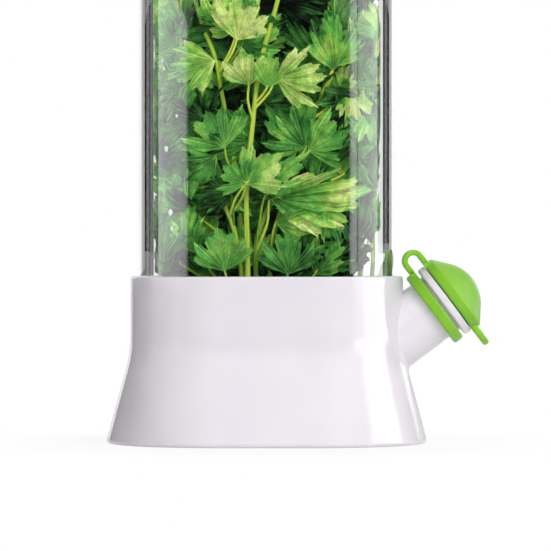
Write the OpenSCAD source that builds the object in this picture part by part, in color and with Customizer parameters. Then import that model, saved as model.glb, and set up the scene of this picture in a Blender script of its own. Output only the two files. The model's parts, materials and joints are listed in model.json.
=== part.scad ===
// Fresh herb keeper: a clear cover stands in an oval water base with a filling spout and a soft plug.
// Millimetres. Z is up, the ground is z = 0 and the middle of the oval plan is the origin.
// The spout points to +X.

/* [Base] */
// Width of the base at the rim, from end to end
rim_w = 91.8; // [80:0.2:110]
// Depth of the base at the rim, from front to back
rim_d = 59.8; // [50:0.2:72]
// Height of the rim above the ground
base_h = 56.3; // [52:0.1:70]
// Wall of the base
base_wall = 2.4; // [1.6:0.1:3.2]
// Slope of the skirt away from upright, in degrees
skirt_angle = 15.1; // [8:0.1:20]
// Height at which the skirt leaves the upright wall
skirt_z = 31; // [24:0.5:34]
// Radius of the bend between the upright wall and the skirt
skirt_bend_r = 45; // [25:1:55]
// Rounding of the lower outside edge
foot_round = 1.2; // [0.6:0.1:1.6]
// Rounding of the rim's two edges
rim_round = 0.8; // [0.3:0.1:0.8]
// Depth below the rim at which the cover's ledge lies
ledge_drop = 7.3; // [5:0.1:8]
// Width of the ledge, inwards from the wall
ledge_w = 3.5; // [3:0.1:6]
// Thickness of the ledge
ledge_t = 2; // [1.5:0.1:2.5]

/* [Base floor] */
// Height of the floor plate's underside above the ground
floor_z = 2; // [1:0.1:4]
// Thickness of the floor plate
floor_t = 2.5; // [1.8:0.1:3.5]
// Width of the shoulder in the wall that the floor plate is welded to
floor_lap = 0.95; // [0.6:0.05:1.1]
// Gap round the edge of the floor plate
floor_gap = 0.12; // [0.05:0.01:0.3]

/* [Spout] */
// Distance from the rim's end out to the middle of the spout's mouth
spout_reach = 14.9; // [13.5:0.1:18]
// Depth of the middle of the spout's mouth below the rim
spout_drop = 7.5; // [6:0.1:9]
// Angle of the spout above level, in degrees
spout_angle = 37; // [34:0.5:42]
// Diameter of the spout's bore
bore_d = 17.2; // [14:0.1:18]
// Wall of the spout's neck
neck_wall = 2.3; // [1.6:0.1:2.6]
// Diameter of the lip round the spout's mouth
lip_d = 27; // [26.4:0.1:28]
// Thickness of the lip
lip_t = 2.6; // [2:0.1:3]
// Rounding of the lip's edges
lip_round = 0.8; // [0.3:0.1:0.9]
// Rounding of the corner between the neck and the skirt
root_round = 2.5; // [1:0.1:3]

/* [Plug] */
// Gap between the lip and the plug's retaining ring
ring_gap = 0.95; // [0.3:0.05:1.2]
// Thickness of the retaining ring, along the spout
ring_t = 3.6; // [2.8:0.1:4]
// Diameter of the retaining ring
ring_d = 27.5; // [26:0.1:28]
// Gap between the ring and the neck
ring_fit = 0.1; // [0.05:0.01:0.2]
// Rounding of the ring's edges
ring_round = 0.9; // [0.4:0.1:1.3]
// Gap between the spout's mouth and the underside of the cap
cap_gap = 0.3; // [0.2:0.05:0.5]
// Diameter of the cap
cap_d = 27.6; // [26.4:0.1:28.4]
// Height of the cap's upright side
cap_side = 3.1; // [2.4:0.1:3.6]
// Rounding of the cap's two edges
cap_round = 1; // [0.5:0.1:1.2]
// Slope of the dome away from the mouth's plane, in degrees
dome_angle = 39.6; // [34:0.2:44]
// Radius of the dome's crown
crown_r = 13.6; // [6:0.2:15]
// Length of the plug's stem inside the bore
stem_l = 5; // [3:0.1:6]
// Gap between the plug's stem and the bore
stem_fit = 0.3; // [0.25:0.01:0.5]
// Draft of the stem's tip
stem_draft = 0.4; // [0.3:0.05:1]
// Length of the pull tab beyond the cap
tab_l = 6.6; // [5:0.1:9]
// Width of the pull tab
tab_w = 11; // [8:0.5:14]
// Thickness of the pull tab
tab_t = 2.2; // [1.6:0.1:2.6]
// Distance from the cap's edge out to the middle of the strap's loop
strap_reach = 3.1; // [2.6:0.1:3.6]
// Thickness of the strap
strap_t = 1.85; // [1.4:0.05:2]
// Width of the strap
strap_w = 10; // [7:0.5:12]
// Length of the seats on the ring and the cap that the strap starts from
seat_l = 0.8; // [0.5:0.1:1]

/* [Cover] */
// Height of the cover
cover_h = 196; // [150:1:230]
// Wall of the cover
cover_wall = 2.2; // [1.6:0.1:3]
// Gap between the cover and the base's wall
cover_fit = 0.6; // [0.3:0.05:1]
// Rounding of the cover's top edge
top_round = 14; // [8:0.5:20]

/* [Herbs] */
// Gap between the leaves and the inside of the cover
leaf_gap = 1.2; // [0.8:0.1:3]
// Room left above the herbs, under the cover's top
head_room = 20; // [14:1:40]
// Gap between the ends of the stems and the floor plate
stalk_gap = 0.4; // [0.3:0.1:2]
// Radius of a stem near its cut end
stalk_r = 1.5; // [1:0.1:1.8]
// Radius of a leaf's own thin stem
petiole_r = 0.65; // [0.5:0.05:0.9]
// Thickness of a leaf
leaf_t = 0.8; // [0.6:0.05:1]
// Rise of a leaf's two halves from its middle rib, as a share of its half width
leaf_fold = 0.26; // [0:0.02:0.5]

/* [Hidden] */
$fn = 96;
// How far a cut runs past the face that it opens
over = 1;
// Steps of a small rounding and of a wide bend
round_steps = 6;
bend_steps = 20;

end_r = rim_d / 2;
half_run = rim_w / 2 - end_r;
in_r = end_r - base_wall;
ledge_z = base_h - ledge_drop;
floor_top = floor_z + floor_t;

// The bend's centre lies outside the wall, and both wall faces bend round it.
bend_tangent = skirt_bend_r * tan(skirt_angle / 2);
bend_x = end_r + skirt_bend_r;
bend_z = skirt_z + bend_tangent;
foot_r = end_r + skirt_z * tan(skirt_angle);
foot_in = foot_round * cos(skirt_angle) / (1 - sin(skirt_angle));
shoulder_r = wall_in(floor_top);
seat_r = shoulder_r + floor_lap;

spout_x = rim_w / 2 + spout_reach;
spout_z = base_h - spout_drop;
bore_r = bore_d / 2;
neck_r = bore_r + neck_wall;
lip_r = lip_d / 2;
// The neck's lower side meets the skirt this far from the mouth, and turns there by this angle.
neck_l = (spout_reach + neck_r * sin(spout_angle) - (skirt_z - spout_z + neck_r * cos(spout_angle))
    * tan(skirt_angle)) / (cos(spout_angle) + sin(spout_angle) * tan(skirt_angle));
root_turn = 90 - spout_angle + skirt_angle;
root_tangent = root_round * tan(root_turn / 2);
// The rounding stops short of the skirt by this angle and goes on straight, so that it crosses the skirt's face.
root_cross = 12;
root_dip = 1.5;

ring_top = -lip_t - ring_gap;
cap_r = cap_d / 2;
loop_x = cap_r + strap_reach;
loop_n = (ring_top + cap_gap) / 2;
loop_in_r = (cap_gap - ring_top) / 2;
seat_x = cap_r + seat_l;
stem_r = bore_r - stem_fit;

cover_r = in_r - cover_fit;
cover_in_r = cover_r - cover_wall;
cover_top = ledge_z + cover_h;

// The wall's inner face, as a distance from an end's centre, at a height on the skirt
function wall_in(z) = end_r + (skirt_z - z) * tan(skirt_angle) - base_wall / cos(skirt_angle);

// Points of an arc in a section
function arc(c, r, from, to, steps) =
    [for (i = [0:steps]) let (a = from + (to - from) * i / steps) c + r * [cos(a), sin(a)]];

// The bend of a wall face that lies a distance inside the outer face, from the top down
function bend(inset) = arc(
    [bend_x, bend_z], skirt_bend_r + inset, 180, 180 + skirt_angle, bend_steps
);

// Half of a rounded bar's section: it starts at the axis and is r wide and t high
function slab(r, t, e) = concat(
    [[0, 0]], arc([r - e, e], e, -90, 0, round_steps), arc([r - e, t - e], e, 0, 90, round_steps), [[0, t]]
);

// Carries a section round the oval plan. Its X is the distance from an end's centre.
module round_plan(section) {
    for (side = [0, 1]) mirror([side, 0, 0])
        translate([half_run, 0, 0]) rotate(-90) rotate_extrude(angle = 180) polygon(section);
    for (side = [0, 1]) mirror([0, side, 0])
        rotate([90, 0, 90]) linear_extrude(2 * half_run, center = true) polygon(section);
}

// Places what is drawn along Z on the spout's axis: the mouth is at 0 and +X is the lower side.
module on_spout() {
    translate([spout_x, 0, spout_z]) rotate([0, 90 - spout_angle, 0]) children();
}

base_outside = concat(
    [[0, 0]],
    arc([foot_r - foot_in, foot_round], foot_round, -90, skirt_angle, round_steps),
    [for (i = [bend_steps:-1:0]) bend(0)[i]],
    arc([end_r - rim_round, base_h - rim_round], rim_round, 0, 90, round_steps),
    [[0, base_h]]
);

base_inside = concat(
    [[0, -over], [seat_r, -over], [seat_r, floor_top], [shoulder_r, floor_top]],
    [for (i = [bend_steps:-1:0]) bend(base_wall)[i]],
    [
        [in_r, ledge_z - ledge_t], [in_r - ledge_w, ledge_z - ledge_t],
        [in_r - ledge_w, ledge_z], [in_r, ledge_z]
    ],
    arc([in_r + rim_round, base_h - rim_round], rim_round, 180, 90, round_steps),
    [[in_r + rim_round, base_h + over], [0, base_h + over]]
);

root_centre = [neck_r + root_round, root_tangent - neck_l];
root_end = root_centre - root_round * [cos(root_turn - root_cross), sin(root_turn - root_cross)]
    + root_dip * [sin(root_turn - root_cross), -cos(root_turn - root_cross)];
spout_outside = concat(
    arc([lip_r - lip_round, -lip_round], lip_round, 90, 0, round_steps),
    arc([lip_r - lip_round, lip_round - lip_t], lip_round, 0, -90, round_steps),
    [[neck_r, -lip_t]],
    arc(root_centre, root_round, 180, 180 + root_turn - root_cross, round_steps),
    [root_end, [0, root_end.y], [0, 0]]
);

module base_shell() {
    color("#ece7ed")
    difference() {
        union() {
            round_plan(base_outside);
            on_spout() rotate_extrude() polygon(spout_outside);
        }
        round_plan(base_inside);
        on_spout() translate([0, 0, -neck_l - bore_r]) cylinder(h = neck_l + bore_r + over, r = bore_r);
    }
}

module base_floor() {
    plate_r = seat_r - floor_gap;
    color("#e4dfe5")
    translate([0, 0, floor_z])
    linear_extrude(floor_t) {
        for (side = [-1, 1]) translate([side * half_run, 0]) circle(plate_r);
        square([2 * half_run, 2 * plate_r], center = true);
    }
}

// The strap is soft and moulded in one with the ring and the cap. It starts from a flat seat on each.
module strap_seat(n) {
    inner = ring_d / 2 - strap_t;
    translate([-seat_x, -strap_w / 2, n]) cube([seat_x - inner, strap_w, strap_t]);
}

module plug_ring() {
    in = neck_r + ring_fit;
    out = ring_d / 2;
    low = ring_top - ring_t;
    section = concat(
        [[in, low]],
        arc([out - ring_round, low + ring_round], ring_round, -90, 0, round_steps),
        arc([out - ring_round, ring_top - ring_round], ring_round, 0, 90, round_steps),
        [[in, ring_top]]
    );
    color("#92ca41")
    on_spout() {
        rotate_extrude() polygon(section);
        strap_seat(ring_top - strap_t);
    }
}

module plug_strap() {
    leg = loop_x - seat_x;
    color("#92ca41")
    on_spout() translate([-loop_x, strap_w / 2, loop_n]) rotate([90, 0, 0]) {
        rotate(90) rotate_extrude(angle = 180)
            translate([loop_in_r, 0]) square([strap_t, strap_w]);
        for (side = [0, 1]) mirror([0, side, 0])
            translate([0, loop_in_r, 0]) cube([leg, strap_t, strap_w]);
    }
}

module pull_tab() {
    section = slab(tab_w / 2, tab_t, tab_t / 3);
    straight = cap_r + tab_l - tab_w / 2;
    translate([0, 0, cap_gap]) {
        translate([straight, 0, 0]) rotate(-90) rotate_extrude(angle = 180) polygon(section);
        for (side = [0, 1]) mirror([0, side, 0])
            rotate([90, 0, 90]) linear_extrude(straight) polygon(section);
    }
}

module plug_cap() {
    top = cap_gap + cap_side;
    rise = tan(dome_angle);
    edge_in = cap_round * tan((90 - dome_angle) / 2);
    // The crown is a sphere that the dome's slope meets without a corner.
    crown_z = top + cap_r * rise - crown_r / cos(dome_angle);
    section = concat(
        [[0, -stem_l], [stem_r - stem_draft, -stem_l], [stem_r, -stem_l / 2], [stem_r, cap_gap]],
        arc([cap_r - cap_round, cap_gap + cap_round], cap_round, -90, 0, round_steps),
        arc([cap_r - cap_round, top - edge_in], cap_round, 0, 90 - dome_angle, round_steps),
        arc([0, crown_z], crown_r, 90 - dome_angle, 90, bend_steps)
    );
    color("#92ca41")
    on_spout() {
        rotate_extrude() polygon(section);
        pull_tab();
        strap_seat(cap_gap);
    }
}

module clear_cover() {
    in_round = top_round - cover_wall;
    section = concat(
        [[cover_in_r, ledge_z], [cover_r, ledge_z]],
        arc([cover_r - top_round, cover_top - top_round], top_round, 0, 90, bend_steps),
        [[0, cover_top], [0, cover_top - cover_wall]],
        arc([cover_r - top_round, cover_top - top_round], in_round, 90, 0, bend_steps)
    );
    color("#dfe6e4", 0.35)
    round_plan(section);
}

// The herbs are drawn for a room of this half length, end radius, lowest and highest point.
drawn_run = 16;
drawn_r = 23.5;
drawn_foot = 5;
drawn_top = 223;

room_r = cover_in_r - leaf_gap;
stalk_z = floor_top + stalk_gap;
herb_top = cover_top - cover_wall - head_room;

// Carries a drawn point to the room that the cover leaves
function in_room(p) =
    let (
        past = max(abs(p.x) - drawn_run, 0),
        x = (abs(p.x) - past) * half_run / drawn_run + past * room_r / drawn_r,
        rise = (herb_top - stalk_z) / (drawn_top - drawn_foot)
    )
    [sign(p.x) * x, p.y * room_r / drawn_r, stalk_z + (p.z - drawn_foot) * rise];

// Pulls a point of a leaf back inside the room, so that the leaf lies along the cover's wall
function held(p, r) =
    let (
        c = [max(-half_run, min(half_run, p.x)), 0],
        away = [p.x, p.y] - c,
        k = min(1, r / max(norm(away), 0.001))
    )
    [c.x + away.x * k, away.y * k, min(p.z, herb_top)];

// The point of a stem's route at a height
function on_route(route, z, i = 0) =
    i >= len(route) - 2 || z <= route[i + 1].z
        ? route[i] + (route[i + 1] - route[i]) * (z - route[i].z) / (route[i + 1].z - route[i].z)
        : on_route(route, z, i + 1);

function unit(v) = v / norm(v);

// The herbs' points keep this many steps in a millimetre, so that no sliver is left where leaves cross.
herb_steps = 100;
function neat(p) = [for (c = p) round(c * herb_steps) / herb_steps];

// Routes of the stems, from the cut end up. The first ones are those nearest the front.
stems = [
    [[-4, -9, 5], [-5.5, -13, 30], [-6.3, -15, 58], [-6.7, -16, 85], [-5, -15, 104],
        [-3.5, -14, 118], [-1, -13, 132], [3, -12, 146], [8, -10, 165], [12, -7, 186], [14, -5, 204]],
    [[-7, -6, 5], [-7.5, -10, 35], [-8.4, -13, 58], [-11, -14, 72], [-14, -14, 80],
        [-19, -13, 92], [-24, -11, 108], [-28, -9, 128], [-30, -8, 150], [-30, -6, 172]],
    [[-3, -2, 5], [-6, -5, 40], [-9, -9, 75], [-11, -11, 95], [-12.7, -12, 104],
        [-15, -12, 117], [-17.5, -11, 130], [-22, -10, 142], [-26, -8, 160], [-27, -4, 185]],
    [[2, -5, 5], [-1, -9, 35], [-3.8, -12, 64], [1, -14, 80], [8, -13, 95],
        [16, -12, 112], [21, -12, 125], [22, -11, 140], [24, -9, 158], [25, -6, 180]],
    [[4, -1, 5], [3, -6, 35], [1, -9, 58], [3, -11, 73], [9, -9, 90],
        [14, -5, 115], [10, -2, 140], [6, 0, 165], [3, 2, 190], [2, 3, 209]],
    [[12, 2, 5], [22, 0, 28], [30, -2, 45], [31.5, -3, 58], [32, -4, 72],
        [33, -5, 90], [34, -5, 110], [34, -4, 132], [32, -3, 155]],
    [[17, 6, 5], [28, 5, 30], [34.5, 4, 48], [36, 3, 60], [36, 2, 75], [35, 3, 92]],
    [[-8, 4, 5], [-14, 8, 40], [-20, 12, 75], [-24, 13, 110], [-24, 12, 145], [-20, 10, 180], [-16, 8, 205]],
    [[0, 6, 5], [-3, 12, 45], [-4, 17, 85], [0, 18, 120], [4, 17, 155], [5, 14, 185], [6, 10, 212]],
    [[7, 6, 5], [13, 11, 45], [20, 14, 80], [25, 14, 115], [26, 13, 145], [22, 11, 175], [17, 9, 200]]
];

// Leaflets: the stem, the height at which the thin stem leaves it, the blade's base and tip,
// its turn about its own length away from facing the front, and its width as a share of its length.
leaflets = [
    [3, 64, [1, -17, 82], [35, -12, 86], -20, 0.5],
    [3, 64, [-1, -18, 82], [14, -18, 97], 25, 0.6],
    [1, 76, [-7, -20, 87], [-15, -19, 93], 0, 1.2],
    [1, 76, [-7, -20, 87], [5, -19, 96], 10, 1],
    [1, 72, [-12, -16, 84], [-23, -14, 82], -30, 1],
    [1, 88, [-17, -15, 96], [-26, -13, 88], 20, 1.1],
    [2, 90, [-14, -14, 99], [-21, -14, 112], 0, 1.3],
    [1, 40, [-23, -14, 64], [-25, -14, 82], 35, 0.6],
    [1, 30, [-14, -17, 58], [-16, -17, 73], 0, 1],
    [4, 62, [3, -15, 74], [18, -15, 78], -35, 0.6],
    [4, 73, [19, -16, 79], [26, -14, 71], 10, 1.2],
    [4, 35, [7, -14, 57], [7, -15, 73], -10, 1],
    [3, 30, [16, -12, 57], [26, -12, 69], 20, 0.7],
    [4, 35, [12, -9, 57], [15, -10, 76], -15, 0.8],
    [5, 45, [18, -4, 60], [28, -7, 72], 20, 1],
    [6, 60, [36, -3, 76], [37, -3, 94], 60, 0.5],
    [3, 80, [25, -12, 90], [26, -12, 101], 20, 0.5],
    [3, 92, [13, -14, 99], [-1, -15, 113], 15, 0.8],
    [3, 92, [13, -14, 99], [11, -15, 117], 0, 0.9],
    [3, 92, [14, -14, 98], [28, -12, 106], -10, 1],
    [3, 118, [27, -11, 117], [29, -11, 105], 20, 0.8],
    [0, 112, [3, -17, 122], [22, -16, 124], -15, 0.9],
    [0, 108, [-6, -16, 120], [-8, -15, 132], 15, 1],
    [0, 114, [0, -17, 119], [1, -16, 132], -20, 0.8],
    [3, 120, [19, -13, 129], [6, -12, 141], 20, 0.8],
    [3, 116, [22, -13, 125], [20, -13, 147], -15, 0.6],
    [3, 116, [22, -13, 126], [28, -11, 139], 15, 0.8],
    [3, 108, [26, -10, 117], [26, -11, 129], 30, 0.7],
    [5, 118, [30, -8, 129], [36, -5, 146], -20, 0.8],
    [5, 100, [30, -8, 106], [36, -6, 119], 10, 0.9],
    [2, 124, [-10, -14, 135], [-5, -14, 152], 0, 1.1],
    [2, 124, [-10, -13, 138], [-18, -13, 146], 20, 0.9],
    [2, 122, [-8, -12, 134], [1, -12, 131], -20, 1],
    [1, 124, [-30, -9, 131], [-38, -5, 137], 10, 1.5],
    [2, 120, [-17, -13, 128], [-34, -10, 122], -15, 0.8],
    [1, 104, [-27, -12, 119], [-33, -10, 107], 0, 1.1],
    [2, 96, [-19, -12, 110], [-20, -12, 121], 55, 0.6],
    [1, 86, [-27, -12, 97], [-35, -8, 106], 10, 1.1],
    [1, 66, [-26, -12, 79], [-35, -8, 90], 0, 1],
    [1, 44, [-28, -9, 60], [-35, -7, 73], 15, 0.9],
    [0, 150, [4, -14, 162], [-8, -15, 176], 10, 1],
    [0, 166, [11, -12, 177], [24, -9, 190], -15, 1],
    [0, 186, [13, -8, 196], [23, -8, 211], 10, 0.9],
    [0, 186, [13, -8, 200], [5, -11, 217], 0, 0.9],
    [1, 150, [-31, -8, 163], [-36, -4, 181], 10, 0.8],
    [1, 140, [-28, -10, 152], [-16, -14, 164], -15, 0.9],
    [2, 160, [-27, -8, 172], [-17, -12, 187], 10, 0.9],
    [2, 170, [-28, -5, 186], [-32, -4, 204], -20, 0.9],
    [3, 150, [25, -10, 162], [35, -5, 172], 10, 1],
    [3, 158, [25, -8, 174], [17, -13, 156], 0, 0.8],
    [4, 190, [3, 0, 203], [-9, -3, 219], 15, 0.9],
    [4, 190, [4, 2, 203], [10, 3, 222], 70, 0.8],
    [5, 132, [33, -3, 148], [37, 1, 163], 70, 0.8],
    [6, 75, [36, 4, 90], [34, 10, 106], 90, 0.9],
    [7, 40, [-16, 10, 56], [-28, 10, 68], 10, 1],
    [7, 66, [-23, 12, 82], [-34, 9, 95], -10, 1],
    [7, 95, [-24, 14, 110], [-12, 19, 122], 15, 1],
    [7, 120, [-26, 13, 134], [-36, 7, 148], 0, 1],
    [7, 150, [-23, 13, 162], [-10, 17, 175], -15, 1],
    [7, 176, [-20, 10, 190], [-30, 8, 206], 10, 0.9],
    [7, 186, [-17, 9, 200], [-8, 12, 218], 0, 0.9],
    [8, 40, [-3, 14, 54], [9, 18, 66], 15, 1],
    [8, 60, [-5, 18, 76], [-17, 18, 90], 0, 1],
    [8, 84, [-3, 19, 98], [11, 20, 108], -15, 1],
    [8, 118, [0, 19, 132], [-12, 19, 146], 10, 1],
    [8, 140, [5, 18, 154], [18, 17, 164], 0, 1],
    [8, 170, [5, 16, 186], [-6, 17, 202], 15, 0.9],
    [8, 190, [7, 11, 205], [16, 10, 221], 0, 0.9],
    [9, 46, [17, 13, 60], [30, 10, 72], 10, 1],
    [9, 66, [22, 15, 80], [34, 8, 92], -10, 1],
    [9, 100, [24, 15, 116], [11, 19, 128], 15, 1],
    [9, 126, [27, 13, 140], [36, 6, 153], 0, 1],
    [9, 160, [23, 12, 174], [11, 17, 187], -15, 1],
    [9, 180, [19, 10, 194], [29, 8, 209], 10, 0.9]
];

// Routes of the young sprigs that stand in the middle, between the front and the back of the bunch
inner_stems = [
    [[-12, -1, 5], [-14, -1, 40], [-14, 0, 62], [-12, 1, 90], [-13, 2, 120], [-14, 2, 150], [-13, 3, 184]],
    [[-3, 2, 5], [-4, 3, 40], [-4, 3, 70], [-1, 4, 100], [0, 5, 130], [-2, 5, 160], [-3, 6, 190]],
    [[8, -4, 5], [11, -1, 40], [15, 2, 70], [18, 3, 100], [19, 3, 130], [17, 3, 160], [14, 2, 188]]
];

// Their leaflets, written in the same way
inner_leaflets = [
    [0, 52, [-18, -1, 62], [-31, 0, 72], 10, 0.8],
    [0, 64, [-10, -2, 72], [1, -3, 83], -10, 0.8],
    [0, 76, [-19, 1, 85], [-31, 1, 97], 0, 0.8],
    [0, 90, [-8, 0, 98], [3, -2, 109], 10, 0.8],
    [0, 100, [-19, 3, 109], [-32, 2, 121], -10, 0.8],
    [0, 116, [-9, 1, 124], [2, -2, 134], 0, 0.8],
    [0, 126, [-20, 2, 135], [-33, 0, 147], 10, 0.8],
    [0, 142, [-10, 0, 150], [-1, -3, 163], -10, 0.8],
    [0, 152, [-20, 1, 161], [-32, 0, 174], 0, 0.8],
    [0, 172, [-17, 0, 186], [-26, -1, 199], 10, 0.8],
    [1, 58, [2, 2, 67], [14, 3, 78], 10, 0.8],
    [1, 104, [6, 4, 114], [14, 0, 128], -10, 0.8],
    [1, 138, [4, 6, 148], [14, 5, 159], 10, 0.8],
    [1, 162, [-8, 4, 172], [-19, 1, 183], 0, 0.8],
    [1, 174, [-6, 5, 187], [-13, 2, 200], -10, 0.8],
    [2, 50, [20, 2, 60], [32, 2, 71], 10, 0.8],
    [2, 72, [23, 3, 82], [30, 5, 94], -10, 0.8],
    [2, 80, [11, 1, 89], [0, 2, 99], 0, 0.8],
    [2, 96, [26, 2, 106], [37, 1, 118], 10, 0.8],
    [2, 118, [27, 1, 128], [37, 2, 141], -10, 0.8],
    [2, 128, [12, 3, 137], [2, 4, 148], 0, 0.8],
    [2, 142, [24, 4, 153], [28, 6, 167], 10, 0.8],
    [2, 156, [9, 4, 166], [-1, 5, 178], -10, 0.8],
    [2, 164, [24, 1, 174], [34, 1, 187], 0, 0.8],
    [2, 174, [16, 0, 188], [24, 1, 201], 10, 0.8]
];

// Half of a leaflet's outline for a length and a width of 1, from the base to the tip.
// It has a lobe at the side and a longer one at the tip.
leaf_edge = [[0.1, 0.2], [0.2, 0.44], [0.34, 0.42], [0.46, 0.54], [0.58, 0.28], [0.74, 0.37], [0.9, 0.18]];
// A young leaflet is plainer.
young_edge = [[0.12, 0.26], [0.42, 0.5], [0.56, 0.28], [0.84, 0.32]];
leaf_heart = [0.45, 0];
leaf_arch = 0.1;
stem_sides = 6;
stem_taper = 0.45;

// A point of the blade's middle surface: the halves rise from the middle rib, and the rib arches.
function blade_point(q, length, width) = [
    q.x * length, q.y * length * width,
    length * (abs(q.y) * width * leaf_fold + 4 * leaf_arch * q.x * (1 - q.x))
];

module blade(base, tip, turn, width, half_edge) {
    length = norm(tip - base);
    along = unit(tip - base);
    front = [0, -1, 0];
    facing = unit(front - (front * along) * along);
    sideways = cross(facing, along);
    up = facing * cos(turn) + sideways * sin(turn);
    across = cross(up, along);
    other_half = [for (i = [len(half_edge) - 1:-1:0]) [half_edge[i].x, -half_edge[i].y]];
    flat_outline = concat([[0, 0]], half_edge, [[1, 0]], other_half, [leaf_heart]);
    middle = [
        for (q = flat_outline) let (b = blade_point(q, length, width))
        held(base + along * b.x + across * b.y + up * b.z, room_r - leaf_t)
    ];
    n = len(middle);
    edge = n - 1;
    points = [for (side = [1, -1]) each [for (p = middle) neat(p + side * up * leaf_t / 2)]];
    faces = [
        for (i = [0:edge - 1]) let (j = (i + 1) % edge)
        each [[edge, i, j], [n + edge, n + j, n + i], [j, i, n + i], [j, n + i, n + j]]
    ];
    polyhedron(points, faces);
}

module stem(route) {
    last = len(route) - 1;
    points = [
        for (k = [0:last]) for (j = [0:stem_sides - 1])
        let (r = stalk_r * (1 - stem_taper * k / last), a = 360 * j / stem_sides)
        neat(in_room(route[k]) + r * [cos(a), sin(a), 0])
    ];
    sides = [
        for (k = [0:last - 1]) for (j = [0:stem_sides - 1])
        let (a = k * stem_sides + j, b = k * stem_sides + (j + 1) % stem_sides)
        each [[a, a + stem_sides, b + stem_sides], [a, b + stem_sides, b]]
    ];
    low_end = [for (j = [0:stem_sides - 1]) j];
    high_end = [for (j = [stem_sides - 1:-1:0]) last * stem_sides + j];
    polyhedron(points, concat([low_end, high_end], sides));
}

module petiole(from, to) {
    hull() for (p = [from, to]) translate(p) sphere(petiole_r, $fn = 3);
}

// Stems on their routes, each with its leaflets, whose outline's half is half_edge
module sprigs(routes, leaves, half_edge) {
    for (route = routes) stem(route);
    for (leaf = leaves) {
        base = in_room(leaf[2]);
        petiole(neat(in_room(on_route(routes[leaf[0]], leaf[1]))), neat(base));
        blade(base, in_room(leaf[3]), leaf[4], leaf[5], half_edge);
    }
}

module herb_bunch() {
    color("#4f9a2c")
    union() sprigs(stems, leaflets, leaf_edge);
}

module inner_sprigs() {
    color("#4f9a2c")
    union() sprigs(inner_stems, inner_leaflets, young_edge);
}

base_shell();
base_floor();
plug_ring();
plug_strap();
plug_cap();
clear_cover();
herb_bunch();
inner_sprigs();
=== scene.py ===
"""Looks of a fresh herb keeper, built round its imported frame.

A glossy white water base with a filling spout, a green silicone plug on its strap, a tall clear cover and
the parsley that stands inside. Lengths are in metres in the frame's axes: +Z is up, +X runs towards the
spout and the camera stands on the -Y side. Sizes that a maker would quote are written in millimetres.
"""

import json
import logging
import math
import random
from collections.abc import Iterable, Sequence
from dataclasses import dataclass, field
from enum import Enum

import bmesh
import bpy
from mathutils import Matrix, Vector, noise
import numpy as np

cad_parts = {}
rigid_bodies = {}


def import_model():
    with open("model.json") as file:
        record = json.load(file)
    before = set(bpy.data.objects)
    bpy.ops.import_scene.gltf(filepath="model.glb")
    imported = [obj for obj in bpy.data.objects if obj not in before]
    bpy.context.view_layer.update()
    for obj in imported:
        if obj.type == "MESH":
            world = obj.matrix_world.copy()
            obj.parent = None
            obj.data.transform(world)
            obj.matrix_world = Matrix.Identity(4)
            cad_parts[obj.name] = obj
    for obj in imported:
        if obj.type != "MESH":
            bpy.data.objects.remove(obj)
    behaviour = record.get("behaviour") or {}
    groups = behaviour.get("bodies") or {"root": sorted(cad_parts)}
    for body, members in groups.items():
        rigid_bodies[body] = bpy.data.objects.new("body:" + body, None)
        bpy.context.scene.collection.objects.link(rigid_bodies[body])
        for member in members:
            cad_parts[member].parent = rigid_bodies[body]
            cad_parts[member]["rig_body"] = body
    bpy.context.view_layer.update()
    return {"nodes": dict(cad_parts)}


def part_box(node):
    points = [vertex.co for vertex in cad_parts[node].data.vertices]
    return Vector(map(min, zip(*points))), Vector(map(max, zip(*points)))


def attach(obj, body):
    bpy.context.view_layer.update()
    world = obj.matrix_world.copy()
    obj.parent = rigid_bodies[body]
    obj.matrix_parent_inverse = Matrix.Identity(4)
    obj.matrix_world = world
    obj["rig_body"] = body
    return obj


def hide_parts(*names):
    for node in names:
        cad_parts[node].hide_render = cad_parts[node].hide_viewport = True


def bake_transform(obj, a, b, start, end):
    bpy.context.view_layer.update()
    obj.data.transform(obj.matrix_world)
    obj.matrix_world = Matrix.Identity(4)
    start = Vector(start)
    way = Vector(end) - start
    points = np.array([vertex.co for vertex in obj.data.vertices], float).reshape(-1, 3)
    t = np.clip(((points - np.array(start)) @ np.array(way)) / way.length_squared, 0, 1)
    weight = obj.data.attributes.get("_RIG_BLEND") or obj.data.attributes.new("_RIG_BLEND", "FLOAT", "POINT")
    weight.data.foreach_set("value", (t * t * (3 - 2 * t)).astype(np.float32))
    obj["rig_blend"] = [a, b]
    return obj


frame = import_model()

MM = 0.001
log = logging.getLogger("herb_keeper")


# Colours and node helpers


def linear(hex_colour: str) -> tuple[float, float, float, float]:
    """Turns an sRGB hex colour to linear light.

    Args:
        hex_colour: Six hex digits after a hash sign.

    Returns:
        Red, green, blue and an alpha of 1.
    """
    parts = [int(hex_colour[i : i + 2], 16) / 255 for i in (1, 3, 5)]
    light = [c / 12.92 if c <= 0.04045 else ((c + 0.055) / 1.055) ** 2.4 for c in parts]
    return (light[0], light[1], light[2], 1.0)


WHITE = linear("#ffffff")


def add_node(
    tree: bpy.types.NodeTree,
    kind: str,
    settings: dict[str | int, object] | None = None,
    links: dict[str | int, bpy.types.NodeSocket] | None = None,
) -> bpy.types.Node:
    """Adds one node with its settings and its incoming links.

    Args:
        tree: Node tree that the node joins.
        kind: Blender's name of the node type.
        settings: Values by socket name or number, or by the node's own property name.
        links: Sockets of other nodes by the name or number of the socket they feed.

    Returns:
        The new node.
    """
    node = tree.nodes.new(kind)
    for key, value in (settings or {}).items():
        if isinstance(key, int) or key in node.inputs:
            node.inputs[key].default_value = value
        else:
            setattr(node, key, value)
    for key, socket in (links or {}).items():
        tree.links.new(socket, node.inputs[key])
    return node


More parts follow.
